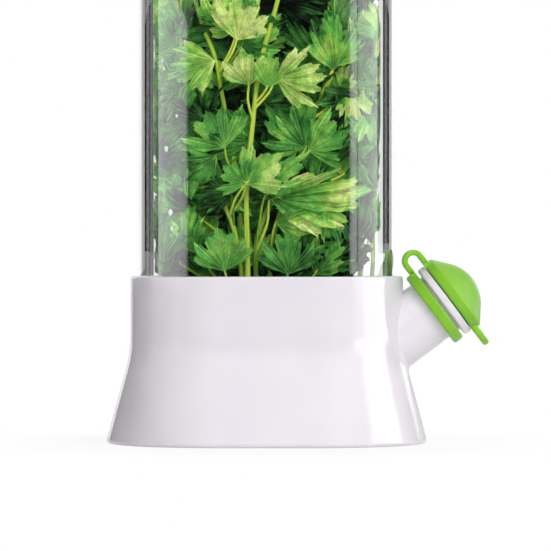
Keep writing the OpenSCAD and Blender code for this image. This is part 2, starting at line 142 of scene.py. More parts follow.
def new_material(name: str) -> tuple[bpy.types.Material, bpy.types.NodeTree, bpy.types.Node]:
    """Makes an empty node material.

    Args:
        name: Name of the material.

    Returns:
        The material, its node tree and its output node.
    """
    material = bpy.data.materials.new(name)
    material.use_nodes = True
    material.node_tree.nodes.clear()
    output = add_node(material.node_tree, "ShaderNodeOutputMaterial")
    return material, material.node_tree, output


def set_ramp(node: bpy.types.Node, stops: Sequence[tuple[float, str]]) -> bpy.types.Node:
    """Writes the stops of a colour ramp.

    Args:
        node: The ramp node.
        stops: Position and sRGB hex colour of each stop, in rising order.

    Returns:
        The same node.
    """
    elements = node.color_ramp.elements
    while len(elements) < len(stops):
        elements.new(1.0)
    for element, (position, colour) in zip(elements, stops, strict=True):
        element.position = position
        element.color = linear(colour)
    return node


def shown_rays(tree: bpy.types.NodeTree) -> bpy.types.NodeSocket:
    """Tells the rays that show a thing from those that only light by it.

    Args:
        tree: Node tree of a material or of the world.

    Returns:
        A socket that is 1 for what the camera sees, sees mirrored or sees through the cover, and else 0.
    """
    path = add_node(tree, "ShaderNodeLightPath")
    seen = add_node(
        tree,
        "ShaderNodeMath",
        {"operation": "MAXIMUM"},
        {0: path.outputs["Is Camera Ray"], 1: path.outputs["Is Glossy Ray"]},
    )
    shown = add_node(
        tree,
        "ShaderNodeMath",
        {"operation": "MAXIMUM"},
        {0: seen.outputs[0], 1: path.outputs["Is Transmission Ray"]},
    )
    return shown.outputs[0]


# Finishes


@dataclass(frozen=True)
class MouldedPlastic:
    """Glossy ABS from a polished mould: a clean clear highlight with the faint ripple of a moulded wall."""

    name: str = "moulded_white_abs"
    colour: str = "#ebe6ec"
    shade: str = "#e6e1e8"
    roughness: float = 0.16
    cloud_mm: float = 36.0
    ripple_mm: float = 9.0
    ripple_deep_mm: float = 0.6
    grain_mm: float = 0.35
    grain_deep_mm: float = 0.03

    def build(self) -> bpy.types.Material:
        """Builds the finish.

        Returns:
            The material.
        """
        material, tree, output = new_material(self.name)
        place = add_node(tree, "ShaderNodeTexCoord").outputs["Object"]
        cloud = add_node(
            tree, "ShaderNodeTexNoise", {"Scale": 1 / (self.cloud_mm * MM), "Detail": 3.0}, {"Vector": place}
        )
        tint = set_ramp(
            add_node(tree, "ShaderNodeValToRGB", links={"Fac": cloud.outputs["Fac"]}),
            [(0.35, self.shade), (0.65, self.colour)],
        )
        ripple = add_node(
            tree, "ShaderNodeTexNoise", {"Scale": 1 / (self.ripple_mm * MM), "Detail": 1.0}, {"Vector": place}
        )
        grain = add_node(
            tree, "ShaderNodeTexNoise", {"Scale": 1 / (self.grain_mm * MM), "Detail": 1.0}, {"Vector": place}
        )
        coarse = add_node(
            tree,
            "ShaderNodeBump",
            {"Strength": 0.05, "Distance": self.ripple_deep_mm * MM},
            {"Height": ripple.outputs["Fac"]},
        )
        fine = add_node(
            tree,
            "ShaderNodeBump",
            {"Strength": 0.03, "Distance": self.grain_deep_mm * MM},
            {"Height": grain.outputs["Fac"], "Normal": coarse.outputs["Normal"]},
        )
        gloss = add_node(
            tree,
            "ShaderNodeMapRange",
            {"To Min": self.roughness - 0.03, "To Max": self.roughness + 0.04},
            {"Value": cloud.outputs["Fac"]},
        )
        surface = add_node(
            tree,
            "ShaderNodeBsdfPrincipled",
            {"IOR": 1.5},
            {
                "Base Color": tint.outputs["Color"],
                "Roughness": gloss.outputs["Result"],
                "Normal": fine.outputs["Normal"],
            },
        )
        tree.links.new(surface.outputs["BSDF"], output.inputs["Surface"])
        return material


@dataclass(frozen=True)
class MouldedSilicone:
    """Silicone rubber from a bead-blasted mould: a soft wide sheen, and colour that glows at thin edges."""

    name: str = "green_silicone"
    colour: str = "#88c634"
    shade: str = "#7ebb2e"
    roughness: float = 0.42
    clouds_per_m: float = 90.0
    grain_mm: float = 0.5
    grain_deep_mm: float = 0.05
    glow_depth: float = 1.5 * MM

    def build(self) -> bpy.types.Material:
        """Builds the finish.

        Returns:
            The material.
        """
        material, tree, output = new_material(self.name)
        place = add_node(tree, "ShaderNodeTexCoord").outputs["Object"]
        cloud = add_node(
            tree, "ShaderNodeTexNoise", {"Scale": self.clouds_per_m, "Detail": 3.0}, {"Vector": place}
        )
        tint = set_ramp(
            add_node(tree, "ShaderNodeValToRGB", links={"Fac": cloud.outputs["Fac"]}),
            [(0.3, self.shade), (0.7, self.colour)],
        )
        grain = add_node(
            tree, "ShaderNodeTexNoise", {"Scale": 1 / (self.grain_mm * MM), "Detail": 2.0}, {"Vector": place}
        )
        bump = add_node(
            tree,
            "ShaderNodeBump",
            {"Strength": 0.12, "Distance": self.grain_deep_mm * MM},
            {"Height": grain.outputs["Fac"]},
        )
        surface = add_node(
            tree,
            "ShaderNodeBsdfPrincipled",
            {
                "IOR": 1.43,
                "Specular IOR Level": 0.35,
                "Roughness": self.roughness,
                "Subsurface Weight": 0.12,
                "Subsurface Radius": (0.6, 1.0, 0.3),
                "Subsurface Scale": self.glow_depth,
                "Sheen Weight": 0.04,
            },
            {"Base Color": tint.outputs["Color"], "Normal": bump.outputs["Normal"]},
        )
        tree.links.new(surface.outputs["BSDF"], output.inputs["Surface"])
        return material


@dataclass(frozen=True)
class ClearPlastic:
    """Clear SAN, moulded and polished: sharp reflections, dark refracted edges and a barely wavy wall."""

    name: str = "clear_san"
    colour: str = "#fafcfb"
    roughness: float = 0.012
    wave_mm: float = 26.0
    wave_deep_mm: float = 0.8

    def build(self) -> bpy.types.Material:
        """Builds the finish.

        Returns:
            The material.
        """
        material, tree, output = new_material(self.name)
        place = add_node(tree, "ShaderNodeTexCoord").outputs["Object"]
        wave = add_node(
            tree, "ShaderNodeTexNoise", {"Scale": 1 / (self.wave_mm * MM), "Detail": 1.0}, {"Vector": place}
        )
        bump = add_node(
            tree,
            "ShaderNodeBump",
            {"Strength": 0.04, "Distance": self.wave_deep_mm * MM},
            {"Height": wave.outputs["Fac"]},
        )
        surface = add_node(
            tree,
            "ShaderNodeBsdfPrincipled",
            {
                "Base Color": linear(self.colour),
                "IOR": 1.5,
                "Roughness": self.roughness,
                "Transmission Weight": 1.0,
            },
            {"Normal": bump.outputs["Normal"]},
        )
        tree.links.new(surface.outputs["BSDF"], output.inputs["Surface"])
        return material


@dataclass(frozen=True)
class ParsleyLeaf:
    """Flat-leaf parsley: a waxy upper side, pale pressed veins, and light that shows through the blade.

    The blade's UV map holds the lobe number along U, with each lobe's vein at a half, and the distance from
    the stem along V. The point attribute "tone" is painted light and shade: it goes from a painted shaded
    deep green, 0, to a painted sunlit yellow, 1, and patches and streaks along the veins move it as painted
    highlights and shade.
    """

    name: str = "parsley_leaf"
    roughness: float = 0.4
    # The greens from full shade to full sun, by tone: painted shade up to painted sunlight
    greens: tuple[tuple[float, str], ...] = (
        (0.0, "#141d15"), (0.12, "#275426"), (0.3, "#468d3b"),
        (0.55, "#70be54"), (0.78, "#a5d45e"), (0.97, "#dcea90"),
    )
    # Half widths of the main veins, from where they are full to where they end, as shares of a lobe
    vein_from: float = 0.012
    vein_to: float = 0.04
    # How far the side veins slant back from a main vein, and how closely they follow each other along it
    side_vein_slant: float = 0.55
    side_veins: float = 44.0
    side_vein_from: float = 0.72
    side_vein_show: float = 0.5
    vein_show: float = 0.55
    # Patches of painted light and shade of a leaflet's size, and the fine mottle between the veins, each as
    # noise cells in a metre
    patches_per_m: float = 75.0
    mottle_per_m: float = 380.0
    relief: float = 0.4 * MM
    translucent: float = 0.3

    def build(self) -> bpy.types.Material:
        """Builds the finish.

        Returns:
            The material.
        """
        material, tree, output = new_material(self.name)
        coords = add_node(tree, "ShaderNodeTexCoord")
        place = coords.outputs["Object"]
        tone = add_node(tree, "ShaderNodeAttribute", {"attribute_name": "tone"}).outputs["Fac"]
        split = add_node(tree, "ShaderNodeSeparateXYZ", links={"Vector": coords.outputs["UV"]})
        lobe = add_node(tree, "ShaderNodeMath", {"operation": "FRACT"}, {0: split.outputs["X"]})
        centred = add_node(tree, "ShaderNodeMath", {"operation": "SUBTRACT", 1: 0.5}, {0: lobe.outputs[0]})
        off_vein = add_node(tree, "ShaderNodeMath", {"operation": "ABSOLUTE"}, {0: centred.outputs[0]})
        reach = add_node(
            tree, "ShaderNodeMath", {"operation": "MULTIPLY"}, {0: off_vein.outputs[0], 1: split.outputs["Y"]}
        )
        main_vein = add_node(
            tree,
            "ShaderNodeMapRange",
            {
                "interpolation_type": "SMOOTHSTEP", "From Min": self.vein_from, "From Max": self.vein_to,
                "To Min": 1.0, "To Max": 0.0,
            },
            {"Value": reach.outputs[0]},
        )
        slant = add_node(
            tree,
            "ShaderNodeMath",
            {"operation": "MULTIPLY_ADD", 1: -self.side_vein_slant},
            {0: off_vein.outputs[0], 2: split.outputs["Y"]},
        )
        rungs = add_node(
            tree, "ShaderNodeMath", {"operation": "MULTIPLY", 1: self.side_veins}, {0: slant.outputs[0]}
        )
        wave = add_node(tree, "ShaderNodeMath", {"operation": "SINE"}, {0: rungs.outputs[0]})
        side_vein = add_node(
            tree,
            "ShaderNodeMapRange",
            {
                "interpolation_type": "SMOOTHSTEP", "From Min": self.side_vein_from, "From Max": 1.0,
                "To Min": 0.0, "To Max": self.side_vein_show,
            },
            {"Value": wave.outputs[0]},
        )
        veins = add_node(
            tree,
            "ShaderNodeMath",
            {"operation": "MAXIMUM"},
            {0: main_vein.outputs[0], 1: side_vein.outputs[0]},
        )
        mottle = add_node(
            tree, "ShaderNodeTexNoise", {"Scale": self.mottle_per_m, "Detail": 4.0}, {"Vector": place}
        )
        # Painted highlights and shade: patches of a leaflet's size and streaks along the veins move the tone
        # up and down the ramp
        patch = add_node(
            tree, "ShaderNodeTexNoise", {"Scale": self.patches_per_m, "Detail": 2.0}, {"Vector": place}
        )
        uneven = add_node(
            tree,
            "ShaderNodeMapRange",
            {"From Min": 0.3, "From Max": 0.7, "To Min": -0.28, "To Max": 0.32},
            {"Value": patch.outputs["Fac"]},
        )
        drawn = add_node(
            tree, "ShaderNodeMapping", {"Scale": (5.0, 1.3, 1.0)}, {"Vector": coords.outputs["UV"]}
        )
        streaks = add_node(
            tree, "ShaderNodeTexNoise", {"Scale": 1.0, "Detail": 3.0}, {"Vector": drawn.outputs[0]}
        )
        streaked = add_node(
            tree,
            "ShaderNodeMapRange",
            {"From Min": 0.3, "From Max": 0.7, "To Min": -0.2, "To Max": 0.22},
            {"Value": streaks.outputs["Fac"]},
        )
        shaded = add_node(
            tree, "ShaderNodeMath", {"operation": "ADD"}, {0: uneven.outputs[0], 1: streaked.outputs[0]}
        )
        lit = add_node(tree, "ShaderNodeMath", {"operation": "ADD"}, {0: tone, 1: shaded.outputs[0]})
        blade = set_ramp(add_node(tree, "ShaderNodeValToRGB", links={"Fac": lit.outputs[0]}), self.greens)
        speckle = add_node(
            tree,
            "ShaderNodeMapRange",
            {"From Min": 0.35, "From Max": 0.7, "To Min": 0.76, "To Max": 1.26},
            {"Value": mottle.outputs["Fac"]},
        )
        varied = add_node(
            tree,
            "ShaderNodeHueSaturation",
            {},
            {"Color": blade.outputs["Color"], "Value": speckle.outputs["Result"]},
        )
        vein_share = add_node(
            tree, "ShaderNodeMath", {"operation": "MULTIPLY", 1: self.vein_show}, {0: veins.outputs[0]}
        )
        vein_colour = add_node(
            tree,
            "ShaderNodeHueSaturation",
            {"Hue": 0.49, "Saturation": 0.85, "Value": 2.2},
            {"Color": varied.outputs["Color"]},
        )
        coloured = add_node(
            tree,
            "ShaderNodeMix",
            {"data_type": "RGBA"},
            {0: vein_share.outputs[0], 6: varied.outputs["Color"], 7: vein_colour.outputs["Color"]},
        )
        pressed = add_node(
            tree,
            "ShaderNodeMath",
            {"operation": "MULTIPLY_ADD", 1: -1.0},
            {0: veins.outputs[0], 2: mottle.outputs["Fac"]},
        )
        bump = add_node(
            tree,
            "ShaderNodeBump",
            {"Strength": 0.75, "Distance": self.relief},
            {"Height": pressed.outputs[0]},
        )
        skin = add_node(
            tree,
            "ShaderNodeBsdfPrincipled",
            {"IOR": 1.42, "Roughness": self.roughness, "Specular IOR Level": 0.22},
            {"Base Color": coloured.outputs[2], "Normal": bump.outputs["Normal"]},
        )
        glow_colour = add_node(
            tree,
            "ShaderNodeHueSaturation",
            {"Hue": 0.485, "Saturation": 1.1, "Value": 1.35},
            {"Color": coloured.outputs[2]},
        )
        glow = add_node(
            tree,
            "ShaderNodeBsdfTranslucent",
            {},
            {"Color": glow_colour.outputs["Color"], "Normal": bump.outputs["Normal"]},
        )
        surface = add_node(
            tree,
            "ShaderNodeMixShader",
            {0: self.translucent},
            {1: skin.outputs["BSDF"], 2: glow.outputs["BSDF"]},
        )
        tree.links.new(surface.outputs["Shader"], output.inputs["Surface"])
        return material


@dataclass(frozen=True)
class ParsleyStalk:
    """A juicy ribbed stalk: pale yellow-green along the ribs and deeper green between them.

    The point attribute "tone" is painted light and shade: it goes from a painted shaded green, 0, to a
    painted sunlit yellow-green, 1.
    """

    name: str = "parsley_stalk"
    roughness: float = 0.35
    # Noise cells in a metre: fine across the stalk and long along it, which draws the ribs
    ribs_per_m: tuple[float, float, float] = (1600.0, 1600.0, 40.0)
    rib_height: float = 0.2 * MM
    glow_depth: float = 1.0 * MM

    def build(self) -> bpy.types.Material:
        """Builds the finish.

        Returns:
            The material.
        """
        material, tree, output = new_material(self.name)
        place = add_node(tree, "ShaderNodeTexCoord").outputs["Object"]
        tone = add_node(tree, "ShaderNodeAttribute", {"attribute_name": "tone"}).outputs["Fac"]
        drawn = add_node(tree, "ShaderNodeMapping", {"Scale": self.ribs_per_m}, {"Vector": place})
        ribs = add_node(
            tree, "ShaderNodeTexNoise", {"Scale": 1.0, "Detail": 2.0}, {"Vector": drawn.outputs[0]}
        )
        uneven = add_node(
            tree,
            "ShaderNodeMapRange",
            {"From Min": 0.3, "From Max": 0.7, "To Min": -0.12, "To Max": 0.12},
            {"Value": ribs.outputs["Fac"]},
        )
        lit = add_node(tree, "ShaderNodeMath", {"operation": "ADD"}, {0: tone, 1: uneven.outputs[0]})
        colour = set_ramp(
            add_node(tree, "ShaderNodeValToRGB", links={"Fac": lit.outputs[0]}),
            [(0.1, "#2f5a28"), (0.4, "#5f8f35"), (0.7, "#a3c43f"), (0.95, "#d3e05a")],
        )
        bump = add_node(
            tree,
            "ShaderNodeBump",
            {"Strength": 0.4, "Distance": self.rib_height},
            {"Height": ribs.outputs["Fac"]},
        )
        surface = add_node(
            tree,
            "ShaderNodeBsdfPrincipled",
            {
                "IOR": 1.4,
                "Roughness": self.roughness,
                "Subsurface Weight": 0.15,
                "Subsurface Scale": self.glow_depth,
            },
            {"Base Color": colour.outputs["Color"], "Normal": bump.outputs["Normal"]},
        )
        tree.links.new(surface.outputs["BSDF"], output.inputs["Surface"])
        return material


@dataclass(frozen=True)
class WaterDropPaintedHighlight:
    """Water beads with a painted highlight: their base colour is white so that they show as the light they
    catch, because clear ones don't show on a clear wall.
    """

    name: str = "water"
    roughness: float = 0.05
    clear: float = 0.15

    def build(self) -> bpy.types.Material:
        """Builds the finish.

        Returns:
            The material.
        """
        material, tree, output = new_material(self.name)
        surface = add_node(
            tree,
            "ShaderNodeBsdfPrincipled",
            {
                # The white base colour is a painted highlight
                "Base Color": WHITE,
                "IOR": 1.33,
                "Roughness": self.roughness,
                "Transmission Weight": self.clear,
            },
        )
        tree.links.new(surface.outputs["BSDF"], output.inputs["Surface"])
        return material


# Mesh helpers


def of_kind(geometry: Iterable[object], kind: type) -> list:
    """Returns the vertices, the edges or the faces among what a bmesh operator gives back."""
    return [part for part in geometry if isinstance(part, kind)]


def smooth_piece(bm: bmesh.types.BMesh, name: str, material: bpy.types.Material) -> bpy.types.Object:
    """Turns a bmesh to a smooth-shaded object at the origin.

    Args:
        bm: The finished mesh, which is freed.
        name: Name of the piece.
        material: The piece's finish.

    Returns:
        The new object.
    """
    mesh = bpy.data.meshes.new(name)
    bm.to_mesh(mesh)
    bm.free()
    mesh.polygons.foreach_set("use_smooth", [True] * len(mesh.polygons))
    mesh.materials.append(material)
    piece = bpy.data.objects.new(name, mesh)
    bpy.context.scene.collection.objects.link(piece)
    return piece


def shade_evenly(piece: bpy.types.Object, keep_sharp: bool) -> None:
    """Weights a piece's normals by face area, so that its flat faces shade flat.

    Args:
        piece: The piece.
        keep_sharp: Whether edges that are marked as sharp stay so.
    """
    weighted = piece.modifiers.new("even_shading", "WEIGHTED_NORMAL")
    weighted.keep_sharp = keep_sharp
    weighted.weight = 80


def merged_copy(node: str, name: str, crease_deg: float, material: bpy.types.Material) -> bpy.types.Object:
    """Makes a smooth-shaded copy of a CAD node, whose own mesh is loose triangles.

    Args:
        node: The CAD node that the copy stands for.
        name: Name of the copy.
        crease_deg: Edges that turn by more than this stay sharp.
        material: The copy's finish.

    Returns:
        The copy, which replaces the node and rides on its body.
    """
    source = frame["nodes"][node]
    bm = bmesh.new()
    bm.from_mesh(source.data)
    bmesh.ops.remove_doubles(bm, verts=bm.verts, dist=0.002 * MM)
    for edge in bm.edges:
        edge.smooth = len(edge.link_faces) == 2 and edge.calc_face_angle() < math.radians(crease_deg)
    piece = smooth_piece(bm, name, material)
    shade_evenly(piece, keep_sharp=True)
    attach(piece, source["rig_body"])
    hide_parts(node)
    return piece


# The herbs


class PaintedLight(Enum):
    """Painted light and shade: how sunlit a leaf or stalk is painted, from a shaded deep green to a yellow
    tip.
    """

    DEEP = 0.14
    SHADE = 0.33
    MID = 0.5
    BRIGHT = 0.66
    SUNLIT = 0.8
    YELLOW = 0.9


@dataclass(frozen=True)
class Leaflet:
    """One leaflet as it hangs in the keeper, in millimetres and degrees."""

    stalk: int
    leaves_at: float
    base: tuple[float, float, float]
    tip: tuple[float, float, float]
    turn: float
    width: float
    # How sunlit the leaflet is painted: painted light and shade in its colour
    tone: PaintedLight


STALKS: list[list[tuple[float, float, float]]] = [
    [(-4, -9, 5), (-5.5, -13, 30), (-6.3, -15, 58), (-6.7, -16, 85), (-5, -15, 104), (-3.5, -14, 118),
     (-1, -13, 132), (3, -12, 146), (8, -10, 165), (12, -7, 186), (14, -5, 204)],
    [(-7, -6, 5), (-7.5, -10, 35), (-8.4, -13, 58), (-11, -14, 72), (-14, -14, 80), (-19, -13, 92),
     (-24, -11, 108), (-28, -9, 128), (-30, -8, 150), (-30, -6, 172)],
    [(-3, -2, 5), (-6, -5, 40), (-9, -9, 75), (-11, -11, 95), (-12.7, -12, 104), (-15, -12, 117),
     (-17.5, -11, 130), (-22, -10, 142), (-26, -8, 160), (-27, -4, 185)],
    [(2, -5, 5), (-1, -9, 35), (-3.8, -12, 64), (1, -14, 80), (8, -13, 95), (16, -12, 112),
     (21, -12, 125), (22, -11, 140), (24, -9, 158), (25, -6, 180)],
    [(4, -1, 5), (3, -6, 35), (1, -9, 58), (3, -11, 73), (9, -9, 90), (14, -5, 115), (10, -2, 140),
     (6, 0, 165), (3, 2, 190), (2, 3, 209)],
    [(12, 2, 5), (22, 0, 28), (30, -2, 45), (31.5, -3, 58), (32, -4, 72), (33, -5, 90), (34, -5, 110),
     (34, -4, 132), (32, -3, 155)],
    [(17, 6, 5), (28, 5, 30), (34.5, 4, 48), (36, 3, 60), (36, 2, 75), (35, 3, 92)],
    [(-8, 4, 5), (-14, 8, 40), (-20, 12, 75), (-24, 13, 110), (-24, 12, 145), (-20, 10, 180), (-16, 8, 205)],
    [(0, 6, 5), (-3, 12, 45), (-4, 17, 85), (0, 18, 120), (4, 17, 155), (5, 14, 185), (6, 10, 212)],
    [(7, 6, 5), (13, 11, 45), (20, 14, 80), (25, 14, 115), (26, 13, 145), (22, 11, 175), (17, 9, 200)],
]
# How sunlit each stalk above is painted: painted light and shade in its colour
STALK_TONES = [
    PaintedLight.SUNLIT, PaintedLight.BRIGHT, PaintedLight.BRIGHT, PaintedLight.MID, PaintedLight.MID,
    PaintedLight.MID, PaintedLight.MID, PaintedLight.SHADE, PaintedLight.SHADE, PaintedLight.SHADE,
]
INNER_STALKS: list[list[tuple[float, float, float]]] = [
    [(-12, -1, 5), (-14, -1, 40), (-14, 0, 62), (-12, 1, 90), (-13, 2, 120), (-14, 2, 150), (-13, 3, 184)],
    [(-3, 2, 5), (-4, 3, 40), (-4, 3, 70), (-1, 4, 100), (0, 5, 130), (-2, 5, 160), (-3, 6, 190)],
    [(8, -4, 5), (11, -1, 40), (15, 2, 70), (18, 3, 100), (19, 3, 130), (17, 3, 160), (14, 2, 188)],
]

# Each leaflet's stalk, the height it leaves that at, base, tip, turn, width, and tone, which is its painted
# light and shade
LEAFLETS = [
    Leaflet(3, 64, (1, -17, 82), (35, -12, 86), -20, 0.5, PaintedLight.BRIGHT),
    Leaflet(3, 64, (-1, -18, 82), (14, -18, 97), 25, 0.6, PaintedLight.SHADE),
    Leaflet(1, 76, (-7, -20, 87), (-15, -19, 93), 0, 1.2, PaintedLight.MID),
    Leaflet(1, 76, (-7, -20, 87), (5, -19, 96), 10, 1, PaintedLight.BRIGHT),
    Leaflet(1, 72, (-12, -16, 84), (-23, -14, 82), -30, 1, PaintedLight.DEEP),
    Leaflet(1, 88, (-17, -15, 96), (-26, -13, 88), 20, 1.1, PaintedLight.SHADE),
    Leaflet(2, 90, (-14, -14, 99), (-21, -14, 112), 0, 1.3, PaintedLight.MID),
    Leaflet(1, 40, (-23, -14, 64), (-25, -14, 82), 35, 0.6, PaintedLight.MID),
    Leaflet(1, 30, (-14, -17, 58), (-16, -17, 73), 0, 1, PaintedLight.BRIGHT),
    Leaflet(4, 62, (3, -15, 74), (18, -15, 78), -35, 0.6, PaintedLight.MID),
    Leaflet(4, 73, (19, -16, 79), (26, -14, 71), 10, 1.2, PaintedLight.BRIGHT),
    Leaflet(4, 35, (7, -14, 57), (7, -15, 73), -10, 1, PaintedLight.SHADE),
    Leaflet(3, 30, (16, -12, 57), (26, -12, 69), 20, 0.7, PaintedLight.MID),
    Leaflet(4, 35, (12, -9, 57), (15, -10, 76), -15, 0.8, PaintedLight.DEEP),
    Leaflet(5, 45, (18, -4, 60), (28, -7, 72), 20, 1, PaintedLight.DEEP),
    Leaflet(6, 60, (36, -3, 76), (37, -3, 94), 60, 0.5, PaintedLight.BRIGHT),
    Leaflet(3, 80, (25, -12, 90), (26, -12, 101), 20, 0.5, PaintedLight.BRIGHT),
    Leaflet(3, 92, (13, -14, 99), (-1, -15, 113), 15, 0.8, PaintedLight.SHADE),
    Leaflet(3, 92, (13, -14, 99), (11, -15, 117), 0, 0.9, PaintedLight.MID),
    Leaflet(3, 92, (14, -14, 98), (28, -12, 106), -10, 1, PaintedLight.MID),
    Leaflet(3, 118, (27, -11, 117), (29, -11, 105), 20, 0.8, PaintedLight.YELLOW),
    Leaflet(0, 112, (3, -17, 122), (22, -16, 124), -15, 0.9, PaintedLight.SUNLIT),
    Leaflet(0, 108, (-6, -16, 120), (-8, -15, 132), 15, 1, PaintedLight.BRIGHT),
    Leaflet(0, 114, (0, -17, 119), (1, -16, 132), -20, 0.8, PaintedLight.BRIGHT),
    Leaflet(3, 120, (19, -13, 129), (6, -12, 141), 20, 0.8, PaintedLight.SHADE),
    Leaflet(3, 116, (22, -13, 125), (20, -13, 147), -15, 0.6, PaintedLight.MID),
    Leaflet(3, 116, (22, -13, 126), (28, -11, 139), 15, 0.8, PaintedLight.MID),
    Leaflet(3, 108, (26, -10, 117), (26, -11, 129), 30, 0.7, PaintedLight.SUNLIT),
    Leaflet(5, 118, (30, -8, 129), (36, -5, 146), -20, 0.8, PaintedLight.SUNLIT),
    Leaflet(5, 100, (30, -8, 106), (36, -6, 119), 10, 0.9, PaintedLight.MID),
    Leaflet(2, 124, (-10, -14, 135), (-6, -14, 151), 0, 0.9, PaintedLight.YELLOW),
    Leaflet(2, 124, (-10, -13, 138), (-18, -13, 146), 20, 0.9, PaintedLight.SUNLIT),
    Leaflet(2, 122, (-8, -12, 134), (1, -12, 131), -20, 1, PaintedLight.SHADE),
    Leaflet(1, 124, (-30, -9, 131), (-38, -5, 137), 10, 1.5, PaintedLight.MID),
    Leaflet(2, 120, (-17, -13, 128), (-34, -10, 122), -15, 0.8, PaintedLight.BRIGHT),
    Leaflet(1, 104, (-27, -12, 119), (-33, -10, 107), 0, 1.1, PaintedLight.SHADE),
    Leaflet(2, 96, (-19, -12, 110), (-20, -12, 121), 55, 0.6, PaintedLight.SHADE),
    Leaflet(1, 86, (-27, -12, 97), (-35, -8, 106), 10, 1.1, PaintedLight.SHADE),
    Leaflet(1, 66, (-26, -12, 79), (-35, -8, 90), 0, 1, PaintedLight.MID),
    Leaflet(1, 44, (-28, -9, 60), (-35, -7, 73), 15, 0.9, PaintedLight.SHADE),
    Leaflet(0, 150, (4, -14, 162), (-8, -15, 176), 10, 1, PaintedLight.BRIGHT),
    Leaflet(0, 166, (11, -12, 177), (24, -9, 190), -15, 1, PaintedLight.MID),
    Leaflet(0, 186, (13, -8, 196), (23, -8, 211), 10, 0.9, PaintedLight.SUNLIT),
    Leaflet(0, 186, (13, -8, 200), (5, -11, 217), 0, 0.9, PaintedLight.BRIGHT),
    Leaflet(1, 150, (-31, -8, 163), (-36, -4, 181), 10, 0.8, PaintedLight.MID),
    Leaflet(1, 140, (-28, -10, 152), (-16, -14, 164), -15, 0.9, PaintedLight.MID),
    Leaflet(2, 160, (-27, -8, 172), (-17, -12, 187), 10, 0.9, PaintedLight.BRIGHT),
    Leaflet(2, 170, (-28, -5, 186), (-32, -4, 204), -20, 0.9, PaintedLight.SUNLIT),
    Leaflet(3, 150, (25, -10, 162), (35, -5, 172), 10, 1, PaintedLight.MID),
    Leaflet(3, 158, (25, -8, 174), (17, -13, 156), 0, 0.8, PaintedLight.SHADE),
    Leaflet(4, 190, (3, 0, 203), (-9, -3, 219), 15, 0.9, PaintedLight.BRIGHT),
    Leaflet(4, 190, (4, 2, 203), (10, 3, 222), 70, 0.8, PaintedLight.MID),
    Leaflet(5, 132, (33, -3, 148), (37, 1, 163), 70, 0.8, PaintedLight.BRIGHT),
    Leaflet(6, 75, (36, 4, 90), (34, 10, 106), 90, 0.9, PaintedLight.MID),
    Leaflet(7, 40, (-16, 10, 56), (-28, 10, 68), 10, 1, PaintedLight.SHADE),
    Leaflet(7, 66, (-23, 12, 82), (-34, 9, 95), -10, 1, PaintedLight.MID),
    Leaflet(7, 95, (-24, 14, 110), (-12, 19, 122), 15, 1, PaintedLight.SHADE),
    Leaflet(7, 120, (-26, 13, 134), (-36, 7, 148), 0, 1, PaintedLight.MID),
    Leaflet(7, 150, (-23, 13, 162), (-10, 17, 175), -15, 1, PaintedLight.MID),
    Leaflet(7, 176, (-20, 10, 190), (-30, 8, 206), 10, 0.9, PaintedLight.BRIGHT),
    Leaflet(7, 186, (-17, 9, 200), (-8, 12, 218), 0, 0.9, PaintedLight.BRIGHT),
    Leaflet(8, 40, (-3, 14, 54), (9, 18, 66), 15, 1, PaintedLight.SHADE),
    Leaflet(8, 60, (-5, 18, 76), (-17, 18, 90), 0, 1, PaintedLight.MID),
    Leaflet(8, 84, (-3, 19, 98), (11, 20, 108), -15, 1, PaintedLight.MID),
    Leaflet(8, 118, (0, 19, 132), (-12, 19, 146), 10, 1, PaintedLight.BRIGHT),
    Leaflet(8, 140, (5, 18, 154), (18, 17, 164), 0, 1, PaintedLight.MID),
    Leaflet(8, 170, (5, 16, 186), (-6, 17, 202), 15, 0.9, PaintedLight.BRIGHT),
    Leaflet(8, 190, (7, 11, 205), (16, 10, 221), 0, 0.9, PaintedLight.SUNLIT),
    Leaflet(9, 46, (17, 13, 60), (30, 10, 72), 10, 1, PaintedLight.SHADE),
    Leaflet(9, 66, (22, 15, 80), (34, 8, 92), -10, 1, PaintedLight.MID),
    Leaflet(9, 100, (24, 15, 116), (11, 19, 128), 15, 1, PaintedLight.SHADE),
    Leaflet(9, 126, (27, 13, 140), (36, 6, 153), 0, 1, PaintedLight.MID),
    Leaflet(9, 160, (23, 12, 174), (11, 17, 187), -15, 1, PaintedLight.MID),
    Leaflet(9, 180, (19, 10, 194), (29, 8, 209), 10, 0.9, PaintedLight.BRIGHT),
    Leaflet(1, 104, (-30, -5, 113), (-37, -2, 127), 20, 1.1, PaintedLight.BRIGHT),
    Leaflet(1, 86, (-29, -4, 86), (-37, -1, 99), 10, 1.1, PaintedLight.MID),
    Leaflet(1, 66, (-30, -3, 70), (-37, 0, 83), 10, 1.1, PaintedLight.SHADE),
    Leaflet(5, 84, (34, -5, 97), (38, -1, 111), 20, 1.1, PaintedLight.MID),
    Leaflet(5, 60, (34, -3, 70), (37, 1, 84), 20, 1.1, PaintedLight.MID),
    Leaflet(5, 112, (34, -4, 120), (38, 0, 132), 20, 1.1, PaintedLight.BRIGHT),
    Leaflet(1, 96, (-31, -3, 98), (-38, 1, 111), 10, 1.2, PaintedLight.SHADE),
    Leaflet(1, 138, (-31, -3, 140), (-38, 1, 154), 10, 1.2, PaintedLight.MID),
]
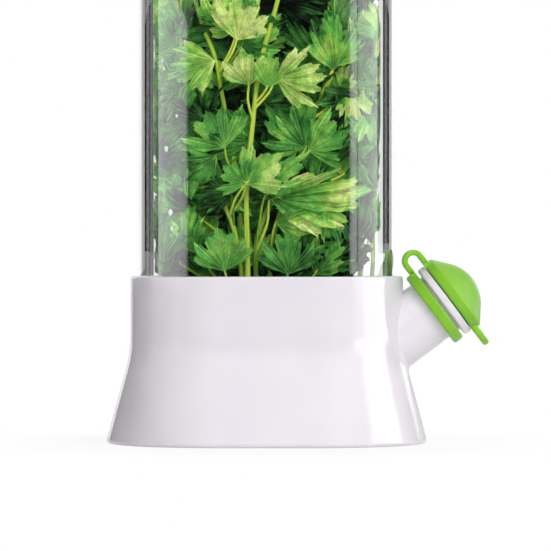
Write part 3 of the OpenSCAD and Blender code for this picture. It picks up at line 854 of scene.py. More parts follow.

# Sprigs in the middle of the bunch, mostly in deep tones: painted shade for the bunch's dark core
INNER_LEAFLETS = [
    Leaflet(0, 52, (-18, -1, 62), (-31, 0, 72), 10, 0.8, PaintedLight.DEEP),
    Leaflet(0, 64, (-10, -2, 72), (1, -3, 83), -10, 0.8, PaintedLight.SHADE),
    Leaflet(0, 76, (-19, 1, 85), (-31, 1, 97), 0, 0.8, PaintedLight.SHADE),
    Leaflet(0, 90, (-8, 0, 98), (3, -2, 109), 10, 0.8, PaintedLight.DEEP),
    Leaflet(0, 100, (-19, 3, 109), (-32, 2, 121), -10, 0.8, PaintedLight.SHADE),
    Leaflet(0, 116, (-9, 1, 124), (2, -2, 134), 0, 0.8, PaintedLight.DEEP),
    Leaflet(0, 126, (-20, 2, 135), (-33, 0, 147), 10, 0.8, PaintedLight.SHADE),
    Leaflet(0, 142, (-10, 0, 150), (-1, -3, 163), -10, 0.8, PaintedLight.SHADE),
    Leaflet(0, 152, (-20, 1, 161), (-32, 0, 174), 0, 0.8, PaintedLight.SHADE),
    Leaflet(0, 172, (-17, 0, 186), (-26, -1, 199), 10, 0.8, PaintedLight.MID),
    Leaflet(1, 58, (2, 2, 67), (14, 3, 78), 10, 0.8, PaintedLight.DEEP),
    Leaflet(1, 104, (6, 4, 114), (14, 0, 128), -10, 0.8, PaintedLight.SHADE),
    Leaflet(1, 138, (4, 6, 148), (14, 5, 159), 10, 0.8, PaintedLight.SHADE),
    Leaflet(1, 162, (-8, 4, 172), (-19, 1, 183), 0, 0.8, PaintedLight.SHADE),
    Leaflet(1, 174, (-6, 5, 187), (-13, 2, 200), -10, 0.8, PaintedLight.MID),
    Leaflet(2, 50, (20, 2, 60), (27, 2, 73), 10, 0.8, PaintedLight.DEEP),
    Leaflet(2, 72, (23, 3, 82), (30, 5, 94), -10, 0.8, PaintedLight.SHADE),
    Leaflet(2, 80, (11, 1, 89), (0, 2, 99), 0, 0.8, PaintedLight.DEEP),
    Leaflet(2, 96, (26, 2, 106), (37, 1, 118), 10, 0.8, PaintedLight.SHADE),
    Leaflet(2, 118, (27, 1, 128), (37, 2, 141), -10, 0.8, PaintedLight.SHADE),
    Leaflet(2, 128, (12, 3, 137), (2, 4, 148), 0, 0.8, PaintedLight.DEEP),
    Leaflet(2, 142, (24, 4, 153), (28, 6, 167), 10, 0.8, PaintedLight.SHADE),
    Leaflet(2, 156, (9, 4, 166), (-1, 5, 178), -10, 0.8, PaintedLight.SHADE),
    Leaflet(2, 164, (24, 1, 174), (34, 1, 187), 0, 0.8, PaintedLight.SHADE),
    Leaflet(2, 174, (16, 0, 188), (24, 1, 201), 10, 0.8, PaintedLight.MID),
    Leaflet(0, 38, (-20, 0, 51), (-31, 1, 58), 10, 0.9, PaintedLight.DEEP),
    Leaflet(0, 36, (-11, 1, 50), (-2, 0, 60), 10, 0.9, PaintedLight.DEEP),
    Leaflet(1, 36, (-2, 4, 50), (-11, 5, 61), -10, 0.9, PaintedLight.DEEP),
    Leaflet(1, 38, (0, 3, 50), (10, 3, 58), 0, 0.9, PaintedLight.DEEP),
    Leaflet(2, 36, (13, 0, 50), (5, -1, 62), 10, 0.9, PaintedLight.DEEP),
    Leaflet(2, 38, (13, 1, 52), (20, 2, 63), -10, 0.9, PaintedLight.DEEP),
    Leaflet(0, 112, (-13, 3, 116), (-20, 3, 132), 0, 1.0, PaintedLight.DEEP),
    Leaflet(0, 106, (-11, 3, 111), (-8, 4, 127), 10, 1.0, PaintedLight.DEEP),
    Leaflet(0, 66, (-16, 3, 70), (-21, 3, 84), 0, 1.0, PaintedLight.DEEP),
    Leaflet(2, 130, (16, 4, 138), (21, 5, 153), 0, 1.0, PaintedLight.DEEP),
]


@dataclass
class LeafForm:
    """Outline and relief of one leaflet of length 1: a wedge that opens to toothed lobes along its veins."""

    # Direction in degrees and reach of each vein, from the tip's outwards, and how deep the notch after it is
    veins: tuple[tuple[float, float, float], ...] = (
        (0, 1.0, 0.17), (19, 0.87, 0.42), (41, 0.9, 0.18), (60, 0.76, 0.36), (80, 0.56, 0.3),
    )
    # How far the margin has come down towards the notch, from the vein at 0 to the notch at 0.5
    margin: tuple[tuple[float, float], ...] = ((0, 0), (0.17, 0.42), (0.24, 0.25), (0.4, 0.9), (0.5, 1))
    pleat: float = 0.05
    fold: float = 0.16
    arch: float = 0.1
    # How much one leaflet's veins and notches may differ from the next one's
    vein_turn_deg: float = 4.0
    vein_reach: float = 0.1
    notch_depth: float = 0.35
    # The blade's wave and the finer crimp towards its margin: heights, waves in a length and crimps in a wave
    wave: float = 0.12
    waves: float = 2.2
    crimp: float = 0.04
    crimps: float = 3.1
    # Lowest and highest curl and twist, and where along the leaflet the curl starts and the twist is nothing
    curl: tuple[float, float] = (-0.12, 0.2)
    curl_from: float = 0.45
    twist: tuple[float, float] = (-0.5, 0.5)
    twist_about: float = 0.4
    # How much the painted light and shade of the tone varies over the blade, in how many patches to a wave,
    # and how much darker its foot is, as painted shade
    patch_tone: float = 0.1
    patches: float = 1.7
    inner_shade: float = 0.06

    def at(self, across: float, out: float, dice: list[float]) -> tuple[float, float, float, float]:
        """Gives a point of the leaflet.

        Args:
            across: From -1 to 1, from margin to margin round the fan of veins, 0 along the tip's vein.
            out: From 0 at the stalk to 1 at the margin.
            dice: Numbers from -1 to 1 that make one leaflet unlike the next, two for each vein.

        Returns:
            The point's x, y and z, and its vein number.
        """
        side = 1 if across >= 0 else -1
        # The blade ends half a lobe before the outermost vein
        spread = abs(across) * (len(self.veins) - 1.5)
        first = min(int(spread), len(self.veins) - 2)
        share = spread - first
        (angle_a, reach_a), (angle_b, reach_b) = (
            (
                angle + side * self.vein_turn_deg * dice[k * side],
                reach * (1 + self.vein_reach * dice[k * side - len(self.veins)]),
            )
            for k, (angle, reach, _) in ((first, self.veins[first]), (first + 1, self.veins[first + 1]))
        )
        angle = math.radians(angle_a + (angle_b - angle_a) * share) * side
        off_vein = min(share, 1 - share)
        drop = 0.0
        for (near, high), (far, low) in zip(self.margin, self.margin[1:], strict=False):
            if near <= off_vein <= far:
                drop = high + (low - high) * (off_vein - near) / (far - near)
        edge = 1 - self.veins[first][2] * drop * (1 + self.notch_depth * dice[0])
        reach = (reach_a + (reach_b - reach_a) * share) * edge
        x = out * reach * math.sin(angle)
        y = out * reach * math.cos(angle)
        z = self.fold * abs(x) + 4 * self.arch * y * (1 - y)
        z += self.pleat * 2 * off_vein * min(1.0, 3 * out * reach)
        return x, y, z, spread + 0.5


@dataclass
class HerbBunch:
    """The parsley: stalks with their leaflets, smaller and darker leaflets behind each, and sprigs in the
    middle, whose darker tones are painted shade of the bunch's depth.
    """

    # The room inside the cover: half the straight part of its plan, the radius of its ends, and how high the
    # herbs reach in it
    run: float = 16 * MM
    room: float = 22.3 * MM
    top: float = 222 * MM
    stalk_r: float = 1.0 * MM
    stalk_taper: float = 0.35
    stalk_steps: int = 4
    stalk_sides: int = 12
    # The leaflets' own stalks, which bow out and reach a little way under their leaflet, and whose painted
    # light is a little lighter than their leaflet's
    petiole_r: float = 0.42 * MM
    petiole_wide: float = 1.15
    petiole_taper: float = 0.45
    petiole_steps: int = 5
    petiole_sides: int = 8
    petiole_middle: float = 0.55
    petiole_bow: float = 0.08
    petiole_under: float = 0.12
    petiole_lighter: float = 0.2
    petiole_tone_most: float = 0.95
    petiole_seed: int = 900
    leaf_steps: tuple[int, int] = (98, 7)
    # The smaller leaflets: grid, length, width, the least of their tone, which is painted shade, and how far
    # they may lie and turn from their own leaflet
    small_steps: tuple[int, int] = (56, 5)
    small_mm: tuple[float, float] = (12, 19)
    small_width: tuple[float, float] = (0.8, 1.1)
    small_tone_least: float = 0.02
    small_seed: int = 1000
    strewn_mm: float = 7
    strewn_deg: float = 60
    strewn_turn: float = 25
    strewn_seed: int = 500
    # Leaflets further back than this belong to the back of the bunch
    back_from: float = 5 * MM
    form: LeafForm = field(default_factory=LeafForm)

    def held(self, point: Vector) -> Vector:
        """Keeps a point inside the cover's oval room.

        Args:
            point: Any point of the bunch.

        Returns:
            The point, pulled back to the wall if it lies outside.
        """
        centre = Vector((max(-self.run, min(self.run, point.x)), 0, 0))
        away = Vector((point.x - centre.x, point.y, 0))
        share = min(1.0, self.room / max(away.length, 1e-6))
        return Vector((centre.x + away.x * share, away.y * share, min(point.z, self.top)))

    def add_leaf(
        self,
        bm: bmesh.types.BMesh,
        base: Vector,
        tip: Vector,
        turn: float,
        width: float,
        tone: float,
        seed: int,
        steps: tuple[int, int],
    ) -> None:
        """Adds one leaflet to a mesh.

        Args:
            bm: Mesh with a UV layer "blade" and a point layer "tone".
            base: Where the leaflet's own stalk meets it.
            tip: Its farthest point.
            turn: Turn about its length away from facing the front, in degrees.
            width: Width as a share of the usual one.
            tone: How sunlit the leaflet is painted, from 0 to 1, as painted light and shade.
            seed: Sets how it curls.
            steps: Steps round the fan and out from the stalk.
        """
        form = self.form
        dice = random.Random(seed)
        curl = dice.uniform(*form.curl)
        twist = dice.uniform(*form.twist)
        phase = Vector((dice.uniform(0, 9), dice.uniform(0, 9), dice.uniform(0, 9)))
        habit = [dice.uniform(-1, 1) for _ in range(2 * len(form.veins))]
        along = (tip - base).normalized()
        length = (tip - base).length
        front = Vector((0, -1, 0))
        facing = (front - front.dot(along) * along).normalized()
        sideways = facing.cross(along)
        up = facing * math.cos(math.radians(turn)) + sideways * math.sin(math.radians(turn))
        right = along.cross(up)
        uv_layer = bm.loops.layers.uv["blade"]
        tone_layer = bm.verts.layers.float["tone"]
        grid = bmesh.ops.create_grid(bm, x_segments=steps[0], y_segments=steps[1], size=1.0)["verts"]
        lobe_of = {}
        for vert in grid:
            across, out = vert.co.x, (vert.co.y + 1) / 2
            x, y, z, lobe = form.at(across, out, habit)
            spot = Vector((x * form.waves, y * form.waves, 0)) + phase
            z += form.wave * noise.noise(spot) + form.crimp * noise.noise(spot * form.crimps) * out
            z += 0.5 * twist * x * (y - form.twist_about)
            z -= 2 * curl * max(0.0, y - form.curl_from) ** 2
            place = base + length * (right * x * width + along * y + up * z)
            vert.co = self.held(place)
            # Painted light and shade: random patches of tone, and painted shade towards the leaflet's foot
            patch = form.patch_tone * noise.noise(spot * form.patches)
            vert[tone_layer] = tone + patch - form.inner_shade * (1 - out)
            lobe_of[vert] = (lobe, out)
        for face in {face for vert in grid for face in vert.link_faces}:
            for loop in face.loops:
                loop[uv_layer].uv = lobe_of[loop.vert]
        pole = [vert for vert in grid if lobe_of[vert][1] < 1e-6]
        bmesh.ops.remove_doubles(bm, verts=pole, dist=0.01 * MM)

    @staticmethod
    def ring_edges(ring: list[bmesh.types.BMVert]) -> list[bmesh.types.BMEdge]:
        """Returns the edges that join the vertices of a ring to each other."""
        around = {edge for vert in ring for edge in vert.link_edges}
        return [edge for edge in around if all(vert in ring for vert in edge.verts)]

    def add_tube(
        self, bm: bmesh.types.BMesh, route: list[Vector], radii: list[float], tone: float, sides: int
    ) -> None:
        """Adds a round stalk that follows a route.

        Args:
            bm: Mesh with a point layer "tone".
            route: The stalk's middle line.
            radii: Its radius at each point.
            tone: How sunlit it is painted, from 0 to 1, as painted light and shade.
            sides: Number of sides.
        """
        tone_layer = bm.verts.layers.float["tone"]
        ring = bmesh.ops.create_circle(bm, cap_ends=True, segments=sides, radius=radii[0])["verts"]
        for vert in ring:
            vert[tone_layer] = tone
        turn = Matrix.Identity(3)
        for k, spot in enumerate(route):
            ahead = (route[min(k + 1, len(route) - 1)] - route[max(k - 1, 0)]).normalized()
            new_turn = Vector((0, 0, 1)).rotation_difference(ahead).to_matrix()
            if k:
                grown = bmesh.ops.extrude_edge_only(bm, edges=self.ring_edges(ring))["geom"]
                fresh = of_kind(grown, bmesh.types.BMVert)
                scale = radii[k] / radii[k - 1]
                for vert in fresh:
                    local = turn.inverted() @ (vert.co - route[k - 1])
                    vert.co = spot + new_turn @ (local * scale)
                ring = fresh
            else:
                for vert in ring:
                    vert.co = spot + new_turn @ vert.co
            turn = new_turn
        bmesh.ops.contextual_create(bm, geom=self.ring_edges(ring))

    @staticmethod
    def rounded_route(points: list[Vector], steps: int) -> list[Vector]:
        """Rounds a route with a curve through its points.

        Args:
            points: The points that the route passes.
            steps: Steps between two of them.

        Returns:
            The finer route.
        """
        route = []
        for k in range(len(points) - 1):
            before, start, end, after = (
                points[max(k - 1, 0)], points[k], points[k + 1], points[min(k + 2, len(points) - 1)]
            )
            for step in range(steps):
                t = step / steps
                route.append(
                    0.5 * (
                        2 * start
                        + (end - before) * t
                        + (2 * before - 5 * start + 4 * end - after) * t * t
                        + (3 * start - before - 3 * end + after) * t**3
                    )
                )
        return [*route, points[-1]]

    @staticmethod
    def route_at(points: list[Vector], height: float) -> Vector:
        """Finds where a stalk reaches a height.

        Args:
            points: The stalk's route, from its foot upwards.
            height: The height.

        Returns:
            The route's point at that height, or its tip if it ends lower.
        """
        for low, high in zip(points, points[1:], strict=False):
            if height <= high.z:
                return low.lerp(high, (height - low.z) / (high.z - low.z))
        return points[-1]

    def build_stalks(self) -> bmesh.types.BMesh:
        """Makes all stalks, and the leaflets' own thin stalks that leave them.

        Returns:
            The mesh of all of them.
        """
        bm = bmesh.new()
        bm.verts.layers.float.new("tone")
        # The stalks of the sprigs in the middle are painted in shade
        inner_tones = [PaintedLight.SHADE] * len(INNER_STALKS)
        for points, tone in zip(STALKS + INNER_STALKS, STALK_TONES + inner_tones, strict=True):
            route = self.rounded_route([Vector(p) * MM for p in points], self.stalk_steps)
            last = len(route) - 1
            radii = [self.stalk_r * (1 - self.stalk_taper * k / last) for k in range(last + 1)]
            self.add_tube(bm, route, radii, tone.value, self.stalk_sides)
        rows = [(leaf, STALKS) for leaf in LEAFLETS] + [(leaf, INNER_STALKS) for leaf in INNER_LEAFLETS]
        for number, (leaf, stalks) in enumerate(rows):
            dice = random.Random(self.petiole_seed + number)
            start = self.route_at([Vector(p) * MM for p in stalks[leaf.stalk]], leaf.leaves_at * MM)
            end = Vector(leaf.base) * MM
            outwards = Vector((dice.uniform(-1, 1), -dice.uniform(0, 1), 0))
            middle = start.lerp(end, self.petiole_middle) + outwards * (end - start).length * self.petiole_bow
            under = end + (Vector(leaf.tip) * MM - end) * self.petiole_under
            stops = [start, self.held(middle), self.held(end), self.held(under)]
            route = self.rounded_route(stops, self.petiole_steps)
            last = len(route) - 1
            radii = [
                self.petiole_r * (self.petiole_wide - self.petiole_taper * k / last) for k in range(last + 1)
            ]
            # Painted light: a little lighter than its leaflet's
            tone = min(self.petiole_tone_most, leaf.tone.value + self.petiole_lighter)
            self.add_tube(bm, route, radii, tone, self.petiole_sides)
        return bm

    def build_leaves(
        self,
        leaves: list[Leaflet],
        first_seed: int,
        companions: int,
        depth: tuple[float, float],
        shade: tuple[float, float],
    ) -> bmesh.types.BMesh:
        """Makes leaflets at their places, each with some smaller ones close behind it.

        Args:
            leaves: The leaflets.
            first_seed: Number that the first leaflet's curl follows from.
            companions: How many smaller leaflets grow behind each.
            depth: How far these lie from the bunch's middle plane, from and to, in millimetres.
            shade: The smaller leaflets' lowest and highest tone, as a share of their own leaflet's: painted
                shade behind it.

        Returns:
            The mesh of all of them.
        """
        bm = bmesh.new()
        bm.loops.layers.uv.new("blade")
        bm.verts.layers.float.new("tone")
        for number, leaf in enumerate(leaves):
            base, tip = Vector(leaf.base) * MM, Vector(leaf.tip) * MM
            own = leaf.tone.value
            self.add_leaf(bm, base, tip, leaf.turn, leaf.width, own, first_seed + number, self.leaf_steps)
            dice = random.Random(first_seed + self.strewn_seed + number)
            side = 1 if base.y > self.back_from else -1
            for extra in range(companions):
                sideways, upwards = (dice.uniform(-self.strewn_mm, self.strewn_mm) for _ in range(2))
                middle = (base + tip) / 2 + Vector((sideways, 0, upwards)) * MM
                middle.y = side * dice.uniform(*depth) * MM
                swing = math.radians(dice.uniform(-self.strewn_deg, self.strewn_deg))
                along = Matrix.Rotation(swing, 3, "Y") @ (tip - base).normalized()
                reach = along * dice.uniform(*self.small_mm) * MM
                # The smaller leaflets are painted darker than their own: painted shade
                tone = max(self.small_tone_least, own * dice.uniform(*shade))
                turn = leaf.turn + dice.uniform(-self.strewn_turn, self.strewn_turn)
                width = dice.uniform(*self.small_width)
                seed = first_seed + self.small_seed + 10 * number + extra
                start, end = middle - reach / 2, middle + reach / 2
                self.add_leaf(bm, start, end, turn, width, tone, seed, self.small_steps)
        return bm

    def build(self, leaf_finish: bpy.types.Material, stalk_finish: bpy.types.Material) -> None:
        """Builds and places the whole bunch.

        Args:
            leaf_finish: Material of the blades.
            stalk_finish: Material of the stalks.
        """
        # The smaller leaflets are painted darker, and those in the middle darkest: painted shade of the
        # bunch's depth
        outer = self.build_leaves(LEAFLETS, 0, companions=2, depth=(6, 11), shade=(0.2, 1.0))
        inner = self.build_leaves(INNER_LEAFLETS, 200, companions=6, depth=(-4, 4), shade=(0.05, 0.7))
        pieces = [
            smooth_piece(outer, "parsley_leaves", leaf_finish),
            smooth_piece(inner, "parsley_inner_leaves", leaf_finish),
            smooth_piece(self.build_stalks(), "parsley_stalks", stalk_finish),
        ]
        for piece in pieces:
            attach(piece, "base")
            log.info("%s: %d faces", piece.name, len(piece.data.polygons))
        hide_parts("herb_bunch")
        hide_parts("inner_sprigs")


# The keeper itself


@dataclass
class Cover:
    """The tall clear cover: an oval tube with a closed, rounded top."""

    run: float = 16 * MM
    wall: float = 2.2 * MM
    top_round: float = 14 * MM
    lip_round: float = 0.4 * MM
    end_steps: int = 48
    arc_steps: int = 14

    def shoulder(self, outer_r: float, high: float, radius: float) -> list[tuple[float, float]]:
        """Gives the rounding between side and top, from the side upwards.

        Args:
            outer_r: Radius of the cover's outer face.
            high: Height of its top.
            radius: Radius of the rounding, about the centre that both faces share.

        Returns:
            The rounding's points.
        """
        angles = [math.pi / 2 * k / self.arc_steps for k in range(self.arc_steps + 1)]
        centre_r, centre_z = outer_r - self.top_round, high - self.top_round
        return [(centre_r + radius * math.cos(a), centre_z + radius * math.sin(a)) for a in angles]

    def section(self, outer_r: float, low: float, high: float) -> list[tuple[float, float]]:
        """Gives the wall's section, down its outer face and up its inner one.

        Args:
            outer_r: Radius of the outer face.
            low: Height of the lower edge.
            high: Height of the top.

        Returns:
            Each point's distance from the axis of the cover's end and its height. The first and the last
            lie on that axis.
        """
        inner_r, lip = outer_r - self.wall, self.lip_round
        bulge = 0.3 * lip
        return [
            (0.0, high),
            *reversed(self.shoulder(outer_r, high, self.top_round)),
            (outer_r, low + lip),
            (outer_r - bulge, low + bulge),
            (outer_r - lip, low),
            (inner_r + lip, low),
            (inner_r + bulge, low + bulge),
            (inner_r, low + lip),
            *self.shoulder(outer_r, high, self.top_round - self.wall),
            (0.0, high - self.wall),
        ]

    def build(self, finish: bpy.types.Material) -> bpy.types.Object:
        """Sweeps the section round the oval plan.

        Args:
            finish: Material of the cover.

        Returns:
            The cover.
        """
        low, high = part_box("clear_cover")
        outline = self.section(high.y, low.z, high.z)
        bm = bmesh.new()
        verts = [bm.verts.new((self.run, -r, z)) for r, z in outline]
        edges = [bm.edges.new(pair) for pair in zip(verts, verts[1:], strict=False)]
        swept: list[bmesh.types.BMVert | bmesh.types.BMEdge] = [*verts, *edges]
        for centre, run in ((self.run, -2 * self.run), (-self.run, 2 * self.run)):
            swept = bmesh.ops.spin(
                bm, geom=swept, cent=(centre, 0, 0), axis=(0, 0, 1), angle=math.pi,
                steps=self.end_steps, use_merge=False, use_duplicate=False,
            )["geom_last"]
            grown = bmesh.ops.extrude_edge_only(bm, edges=of_kind(swept, bmesh.types.BMEdge))["geom"]
            swept = [part for part in grown if not isinstance(part, bmesh.types.BMFace)]
            bmesh.ops.translate(bm, vec=(run, 0, 0), verts=of_kind(swept, bmesh.types.BMVert))
        bmesh.ops.remove_doubles(bm, verts=bm.verts, dist=1e-6)
        bmesh.ops.recalc_face_normals(bm, faces=bm.faces)
        piece = smooth_piece(bm, "cover_shell", finish)
        piece.visible_shadow = False
        shade_evenly(piece, keep_sharp=False)
        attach(piece, "cover")
        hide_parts("clear_cover")
        log.info("cover: %d faces", len(piece.data.polygons))
        return piece


@dataclass
class Drops:
    """Drops of water that the washed herbs left on the cover's wall, in millimetres."""

    # Along X and up Z on the front of the left end, and the half width of each drop
    spots: tuple[tuple[float, float, float], ...] = (
        (-33.3, 98.7, 0.8), (-31.9, 77.6, 0.85), (-31.5, 72.2, 0.55),
        (-34.6, 128.0, 0.5), (-29.8, 109.5, 0.45),
    )
    end_x: float = -16.0
    wall_r: float = 26.9
    lift: float = 0.1
    # Thickness and height of a drop as shares of its width
    thick: float = 0.45
    tall: float = 1.35

    def build(self, finish: bpy.types.Material) -> bpy.types.Object:
        """Sets the drops on the wall's outer face.

        Args:
            finish: Material of the drops.

        Returns:
            The drops, which ride on the cover.
        """
        bm = bmesh.new()
        for x, z, r in self.spots:
            angle = math.asin((x - self.end_x) / self.wall_r)
            out = Vector((math.sin(angle), -math.cos(angle), 0))
            centre = Vector((self.end_x, 0, z)) + out * (self.wall_r + self.lift)
            turn = Matrix.Rotation(angle, 4, "Z")
            form = Matrix.Diagonal((r, self.thick * r, self.tall * r, 1))
            place = Matrix.Translation(centre * MM) @ turn @ form
            bmesh.ops.create_uvsphere(bm, u_segments=24, v_segments=16, radius=MM, matrix=place)
        piece = smooth_piece(bm, "cover_drops", finish)
        piece.visible_shadow = False
        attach(piece, "cover")
        log.info("drops: %d", len(self.spots))
        return piece


@dataclass
class Plug:
    """The soft plug: a ring on the neck, a cap in the mouth and the strap that joins them in a U."""

    # The middle of the spout's mouth, how steeply the spout points up, and where the strap's loop lies from
    # there: aside of the spout's axis, and back along it
    mouth: Vector = field(default_factory=lambda: Vector((60.8 * MM, 0, 48.8 * MM)))
    slope_deg: float = 37.0
    loop_x: float = 16.9 * MM
    loop_n: float = -1.625 * MM
    loop_r: float = 1.925 * MM
    thick: float = 1.85 * MM
    wide: float = 10 * MM
    leg: float = 3.6 * MM
    edge_round: float = 0.5 * MM
    loop_steps: int = 24
    crease_deg: float = 28.0

    def on_spout(self) -> Matrix:
        """Returns the transform from the spout's own axes, +Z out of its mouth, to the frame's."""
        return Matrix.Translation(self.mouth) @ Matrix.Rotation(math.radians(90 - self.slope_deg), 4, "Y")

    def build_strap(self, finish: bpy.types.Material) -> bpy.types.Object:
        """Sweeps the strap's section along its U.

        Args:
            finish: Material of the strap.

        Returns:
            The strap, which bends between the ring and the cap.
        """
        bm = bmesh.new()
        near, far = self.loop_n - self.loop_r, self.loop_n - self.loop_r - self.thick
        start_x, half = -self.loop_x + self.leg, self.wide / 2
        corners = [(start_x, -half, near), (start_x, half, near), (start_x, half, far), (start_x, -half, far)]
        first = bm.faces.new([bm.verts.new(corner) for corner in corners])
        grown = bmesh.ops.extrude_face_region(bm, geom=[first])["geom"]
        bmesh.ops.translate(bm, vec=(-self.leg, 0, 0), verts=of_kind(grown, bmesh.types.BMVert))
        swept = bmesh.ops.spin(
            bm, geom=of_kind(grown, bmesh.types.BMFace), cent=(-self.loop_x, 0, self.loop_n),
            axis=(0, 1, 0), angle=math.pi, steps=self.loop_steps, use_merge=False, use_duplicate=False,
        )["geom_last"]
        grown = bmesh.ops.extrude_face_region(bm, geom=of_kind(swept, bmesh.types.BMFace))["geom"]
        bmesh.ops.translate(bm, vec=(self.leg, 0, 0), verts=of_kind(grown, bmesh.types.BMVert))
        inside = [f for f in bm.faces if all(len(e.link_faces) > 2 for e in f.edges)]
        bmesh.ops.delete(bm, geom=inside, context="FACES_ONLY")
        bmesh.ops.recalc_face_normals(bm, faces=bm.faces)
        square = math.radians(60)
        sharp = [e for e in bm.edges if len(e.link_faces) == 2 and e.calc_face_angle() > square]
        bmesh.ops.bevel(
            bm, geom=sharp, offset=self.edge_round, segments=4, profile=0.5, affect="EDGES", material=-1
        )
        place = self.on_spout()
        bmesh.ops.transform(bm, matrix=place, verts=bm.verts)
        piece = smooth_piece(bm, "plug_strap_soft", finish)
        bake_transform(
            piece, "base", "plug",
            start=place @ Vector((-self.loop_x, 0, self.loop_n - self.loop_r)),
            end=place @ Vector((-self.loop_x, 0, self.loop_n + self.loop_r)),
        )
        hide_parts("plug_strap")
        return piece

    def build(self, finish: bpy.types.Material) -> None:
        """Dresses the ring and the cap and builds the strap.

        Args:
            finish: Material of the whole plug.
        """
        for node in ("plug_ring", "plug_cap"):
            piece = merged_copy(node, f"{node}_soft", self.crease_deg, finish)
            log.info("%s: %d faces", piece.name, len(piece.data.polygons))
        strap = self.build_strap(finish)
        log.info("%s: %d faces", strap.name, len(strap.data.polygons))


@dataclass
class Base:
    """The white water base and its welded floor."""

    crease_deg: float = 24.0

    def build(self, finish: bpy.types.Material) -> None:
        """Dresses the base.

        Args:
            finish: Material of both pieces.
        """
        for node in ("base_shell", "base_floor"):
            piece = merged_copy(node, f"{node}_gloss", self.crease_deg, finish)
            log.info("%s: %d faces", piece.name, len(piece.data.polygons))


# Floor, lights and camera


@dataclass
class Lamp:
    """A softbox: where it stands, what it faces, its size and its power in watts."""

    name: str
    place: tuple[float, float, float]
    target: tuple[float, float, float]
    size: tuple[float, float]
    power: float

    def build(self) -> bpy.types.Object:
        """Hangs the softbox, turned to its target.

        Returns:
            The lamp.
        """
        data = bpy.data.lights.new(self.name, "AREA")
        data.shape = "RECTANGLE"
        data.size, data.size_y = self.size
        data.energy = self.power
        lamp = bpy.data.objects.new(self.name, data)
        # The shiny faces mirror the cards instead
        lamp.visible_glossy = False
        lamp.visible_transmission = False
        lamp.location = self.place
        aim = Vector(self.target) - Vector(self.place)
        lamp.rotation_euler = aim.to_track_quat("-Z", "Y").to_euler()
        bpy.context.scene.collection.objects.link(lamp)
        return lamp


@dataclass
class Card:
    """An upright card that only the keeper's shiny or clear faces see, from a white strip to a black flag."""

    name: str
    start: tuple[float, float]
    end: tuple[float, float]
    heights: tuple[float, float]
    brightness: float
    mirrored: bool = True
    through: bool = False
    soft: float = 0.0

    def build(self) -> None:
        """Stands the card on its place, with its start dimmed over the soft length."""
        material, tree, output = new_material(self.name)
        glow = add_node(tree, "ShaderNodeEmission", {"Color": WHITE, "Strength": self.brightness})
        if self.soft:
            start, end = Vector((*self.start, 0)), Vector((*self.end, 0))
            place = add_node(tree, "ShaderNodeTexCoord").outputs["Object"]
            from_start = add_node(
                tree, "ShaderNodeVectorMath", {"operation": "SUBTRACT", 1: start}, {0: place}
            )
            along = add_node(
                tree,
                "ShaderNodeVectorMath",
                {"operation": "DOT_PRODUCT", 1: (end - start).normalized()},
                {0: from_start.outputs[0]},
            )
            dimmed = add_node(
                tree,
                "ShaderNodeMapRange",
                {"interpolation_type": "SMOOTHSTEP", "From Max": self.soft, "To Max": self.brightness},
                {"Value": along.outputs["Value"]},
            )
            tree.links.new(dimmed.outputs["Result"], glow.inputs["Strength"])
        tree.links.new(glow.outputs[0], output.inputs["Surface"])
        bm = bmesh.new()
        (x0, y0), (x1, y1), (low, high) = self.start, self.end, self.heights
        corners = ((x0, y0, low), (x1, y1, low), (x1, y1, high), (x0, y0, high))
        bm.faces.new([bm.verts.new(corner) for corner in corners])
        card = smooth_piece(bm, self.name, material)
        card.visible_camera = False
        card.visible_shadow = False
        card.visible_diffuse = False
        card.visible_glossy = self.mirrored
        card.visible_transmission = self.through


AIM = (0.0, 0.0, 0.11)
LAMPS = [
    Lamp("key", (0.75, -1.15, 0.95), AIM, (0.9, 0.9), 15.5),
    Lamp("fill", (-0.2, -1.5, 0.6), AIM, (1.0, 0.8), 5.0),
    Lamp("rear", (-0.1, 1.4, 0.8), AIM, (1.2, 0.9), 9.0),
]
CARDS = [
    # Behind the camera: dark, so that the cover's front stays clear
    Card("flag_front", (-3.2, -1.9), (3.2, -1.9), (-0.01, 0.5), 0.02),
    # The same for what the wall's inner face mirrors, which counts as light that came through the wall
    Card("flag_inner", (-3.2, -1.89), (3.2, -1.89), (-0.01, 0.27), 0.02, mirrored=False, through=True),
    # White strips that the cover's round ends mirror
    Card("strip_left", (-0.9, -0.95), (-0.9, 0.1), (0.04, 0.2), 5.0, soft=0.2),
    Card("strip_right", (0.8, -0.42), (0.8, 0.175), (-0.01, 0.9), 5.0, soft=0.08),
    Card("strip_side", (0.79, -0.667), (0.79, -0.4), (0.048, 0.2), 5.0, soft=0.1),
    Card("strip_low", (0.8, 0.155), (0.8, 0.89), (-0.01, 0.06), 6.0),
    # Dimmer cards that the base's ends mirror
    Card("flag_base", (-0.15, -0.2), (-0.15, 0.2), (-0.01, 0.0545), 0.05),
    Card("flag_skirt", (0.06, 0.3), (0.6, 0.3), (-0.01, 0.052), 0.6),
    # Dark cards beyond the strips, which the cover's ends mirror at their outer edges
    Card("flag_left", (-0.9, 0.1), (-0.9, 0.87), (0.06, 0.2), 0.01),
    Card("flag_right", (0.8, 0.155), (0.8, 0.8), (0.065, 0.2), 0.01),
    # Dark cards behind the keeper, which only the cover's refracted edges show
    Card("edge_left", (-0.3, 1.3), (-1.93, 1.3), (0.0, 0.5), 0.01, mirrored=False, through=True),
    Card("edge_right", (0.37, 1.3), (1.93, 1.3), (0.0, 0.5), 0.01, mirrored=False, through=True),
    # White cards behind, for the light line along the cover's outer edge
    Card("rim_left", (-0.46, 1.25), (-1.3, 1.25), (0.044, 0.5), 1.8),
    Card("rim_right", (0.46, 1.25), (1.3, 1.25), (0.044, 0.5), 2.2),
]


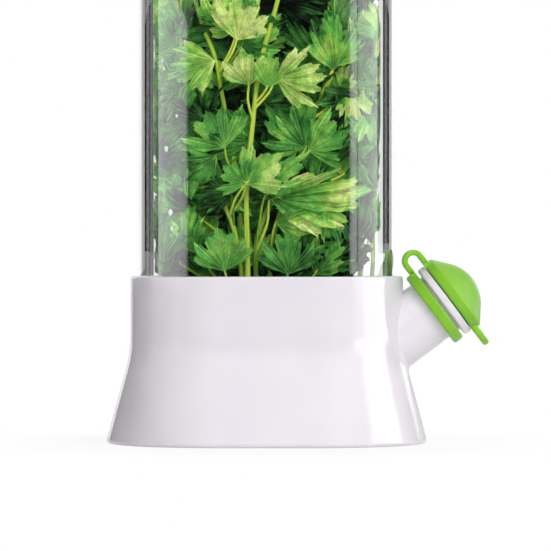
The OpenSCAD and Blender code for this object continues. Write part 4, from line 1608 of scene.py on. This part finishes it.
@dataclass
class Studio:
    """A studio that looks white: a pale floor, a dim surround, softboxes, and cards that draw the edges."""

    floor_size: float = 8.0
    paper: str = "#f4f4f4"
    # Up to this far from the middle the floor looks white by this share, and the rest is its own shading,
    # which keeps the shadow. Further out it fades to plain white.
    shaded_to: float = 55 * MM
    whitened: float = 0.88
    white_from: float = 110 * MM
    surround: float = 0.26
    # The photo's frame, and the pixel in it that shows the point of the keeper's middle plane given next
    photo_px: int = 551
    mm_per_px: float = 0.337
    centre_px: tuple[float, float] = (266.8, 235.0)
    centre_x: float = 0.0
    centre_z: float = 70.07 * MM
    camera_x: float = 2.9 * MM
    camera_distance: float = 1.45
    camera_height: float = 70 * MM
    sensor_mm: float = 36.0
    clip: tuple[float, float] = (0.05, 30.0)

    def build_world(self) -> None:
        """Makes the surround: white where it is seen, mirrored or seen through the cover, dimmer as light."""
        world = bpy.data.worlds.new("studio")
        world.use_nodes = True
        tree = world.node_tree
        tree.nodes.clear()
        light = add_node(tree, "ShaderNodeBackground", {"Color": WHITE, "Strength": self.surround})
        white = add_node(tree, "ShaderNodeBackground", {"Color": WHITE, "Strength": 1.0})
        mixed = add_node(
            tree,
            "ShaderNodeMixShader",
            links={0: shown_rays(tree), 1: light.outputs[0], 2: white.outputs[0]},
        )
        add_node(tree, "ShaderNodeOutputWorld", links={"Surface": mixed.outputs[0]})
        bpy.context.scene.world = world

    def build_floor(self) -> None:
        """Makes the white floor, which keeps the keeper's soft shadow."""
        material, tree, output = new_material("white_sweep")
        place = add_node(tree, "ShaderNodeTexCoord").outputs["Object"]
        away = add_node(tree, "ShaderNodeVectorMath", {"operation": "LENGTH"}, {0: place})
        fade = add_node(
            tree,
            "ShaderNodeMapRange",
            {
                "interpolation_type": "SMOOTHSTEP", "From Min": self.shaded_to, "From Max": self.white_from,
                "To Min": self.whitened, "To Max": 1.0,
            },
            {"Value": away.outputs["Value"]},
        )
        share = add_node(
            tree, "ShaderNodeMath", {"operation": "MULTIPLY"}, {0: shown_rays(tree), 1: fade.outputs[0]}
        )
        paper = add_node(tree, "ShaderNodeBsdfDiffuse", {"Color": linear(self.paper)})
        white = add_node(tree, "ShaderNodeEmission", {"Color": WHITE, "Strength": 1.0})
        mixed = add_node(
            tree,
            "ShaderNodeMixShader",
            links={0: share.outputs[0], 1: paper.outputs[0], 2: white.outputs[0]},
        )
        tree.links.new(mixed.outputs[0], output.inputs["Surface"])
        bm = bmesh.new()
        bmesh.ops.create_grid(bm, x_segments=1, y_segments=1, size=self.floor_size / 2)
        floor = smooth_piece(bm, "floor", material)

    def build_camera(self) -> None:
        """Places the camera where the keeper was seen from."""
        data = bpy.data.cameras.new("camera")
        data.sensor_width = self.sensor_mm
        focal_px = self.camera_distance / (self.mm_per_px * MM)
        data.lens = focal_px * data.sensor_width / self.photo_px
        camera = bpy.data.objects.new("camera", data)
        camera.location = (self.camera_x, -self.camera_distance, self.camera_height)
        middle = self.photo_px / 2
        look = Vector((
            self.centre_x + (middle - self.centre_px[0]) * self.mm_per_px * MM,
            0.0,
            self.centre_z - (middle - self.centre_px[1]) * self.mm_per_px * MM,
        ))
        camera.rotation_euler = (look - camera.location).to_track_quat("-Z", "Y").to_euler()
        data.clip_start, data.clip_end = self.clip
        bpy.context.scene.collection.objects.link(camera)
        bpy.context.scene.camera = camera

    def build(self) -> None:
        """Builds the whole studio."""
        bpy.context.scene.view_settings.view_transform = "Standard"
        self.build_world()
        self.build_floor()
        for light in [*LAMPS, *CARDS]:
            light.build()
        self.build_camera()
        log.info("studio: %d lamps and %d cards", len(LAMPS), len(CARDS))


def main() -> None:
    """Builds the keeper, its herbs and the studio."""
    logging.basicConfig(level=logging.INFO, format="%(name)s: %(message)s")
    Studio().build()
    Base().build(MouldedPlastic().build())
    Plug().build(MouldedSilicone().build())
    Cover().build(ClearPlastic().build())
    Drops().build(WaterDropPaintedHighlight().build())
    HerbBunch().build(ParsleyLeaf().build(), ParsleyStalk().build())


if __name__ == "__main__":
    main()
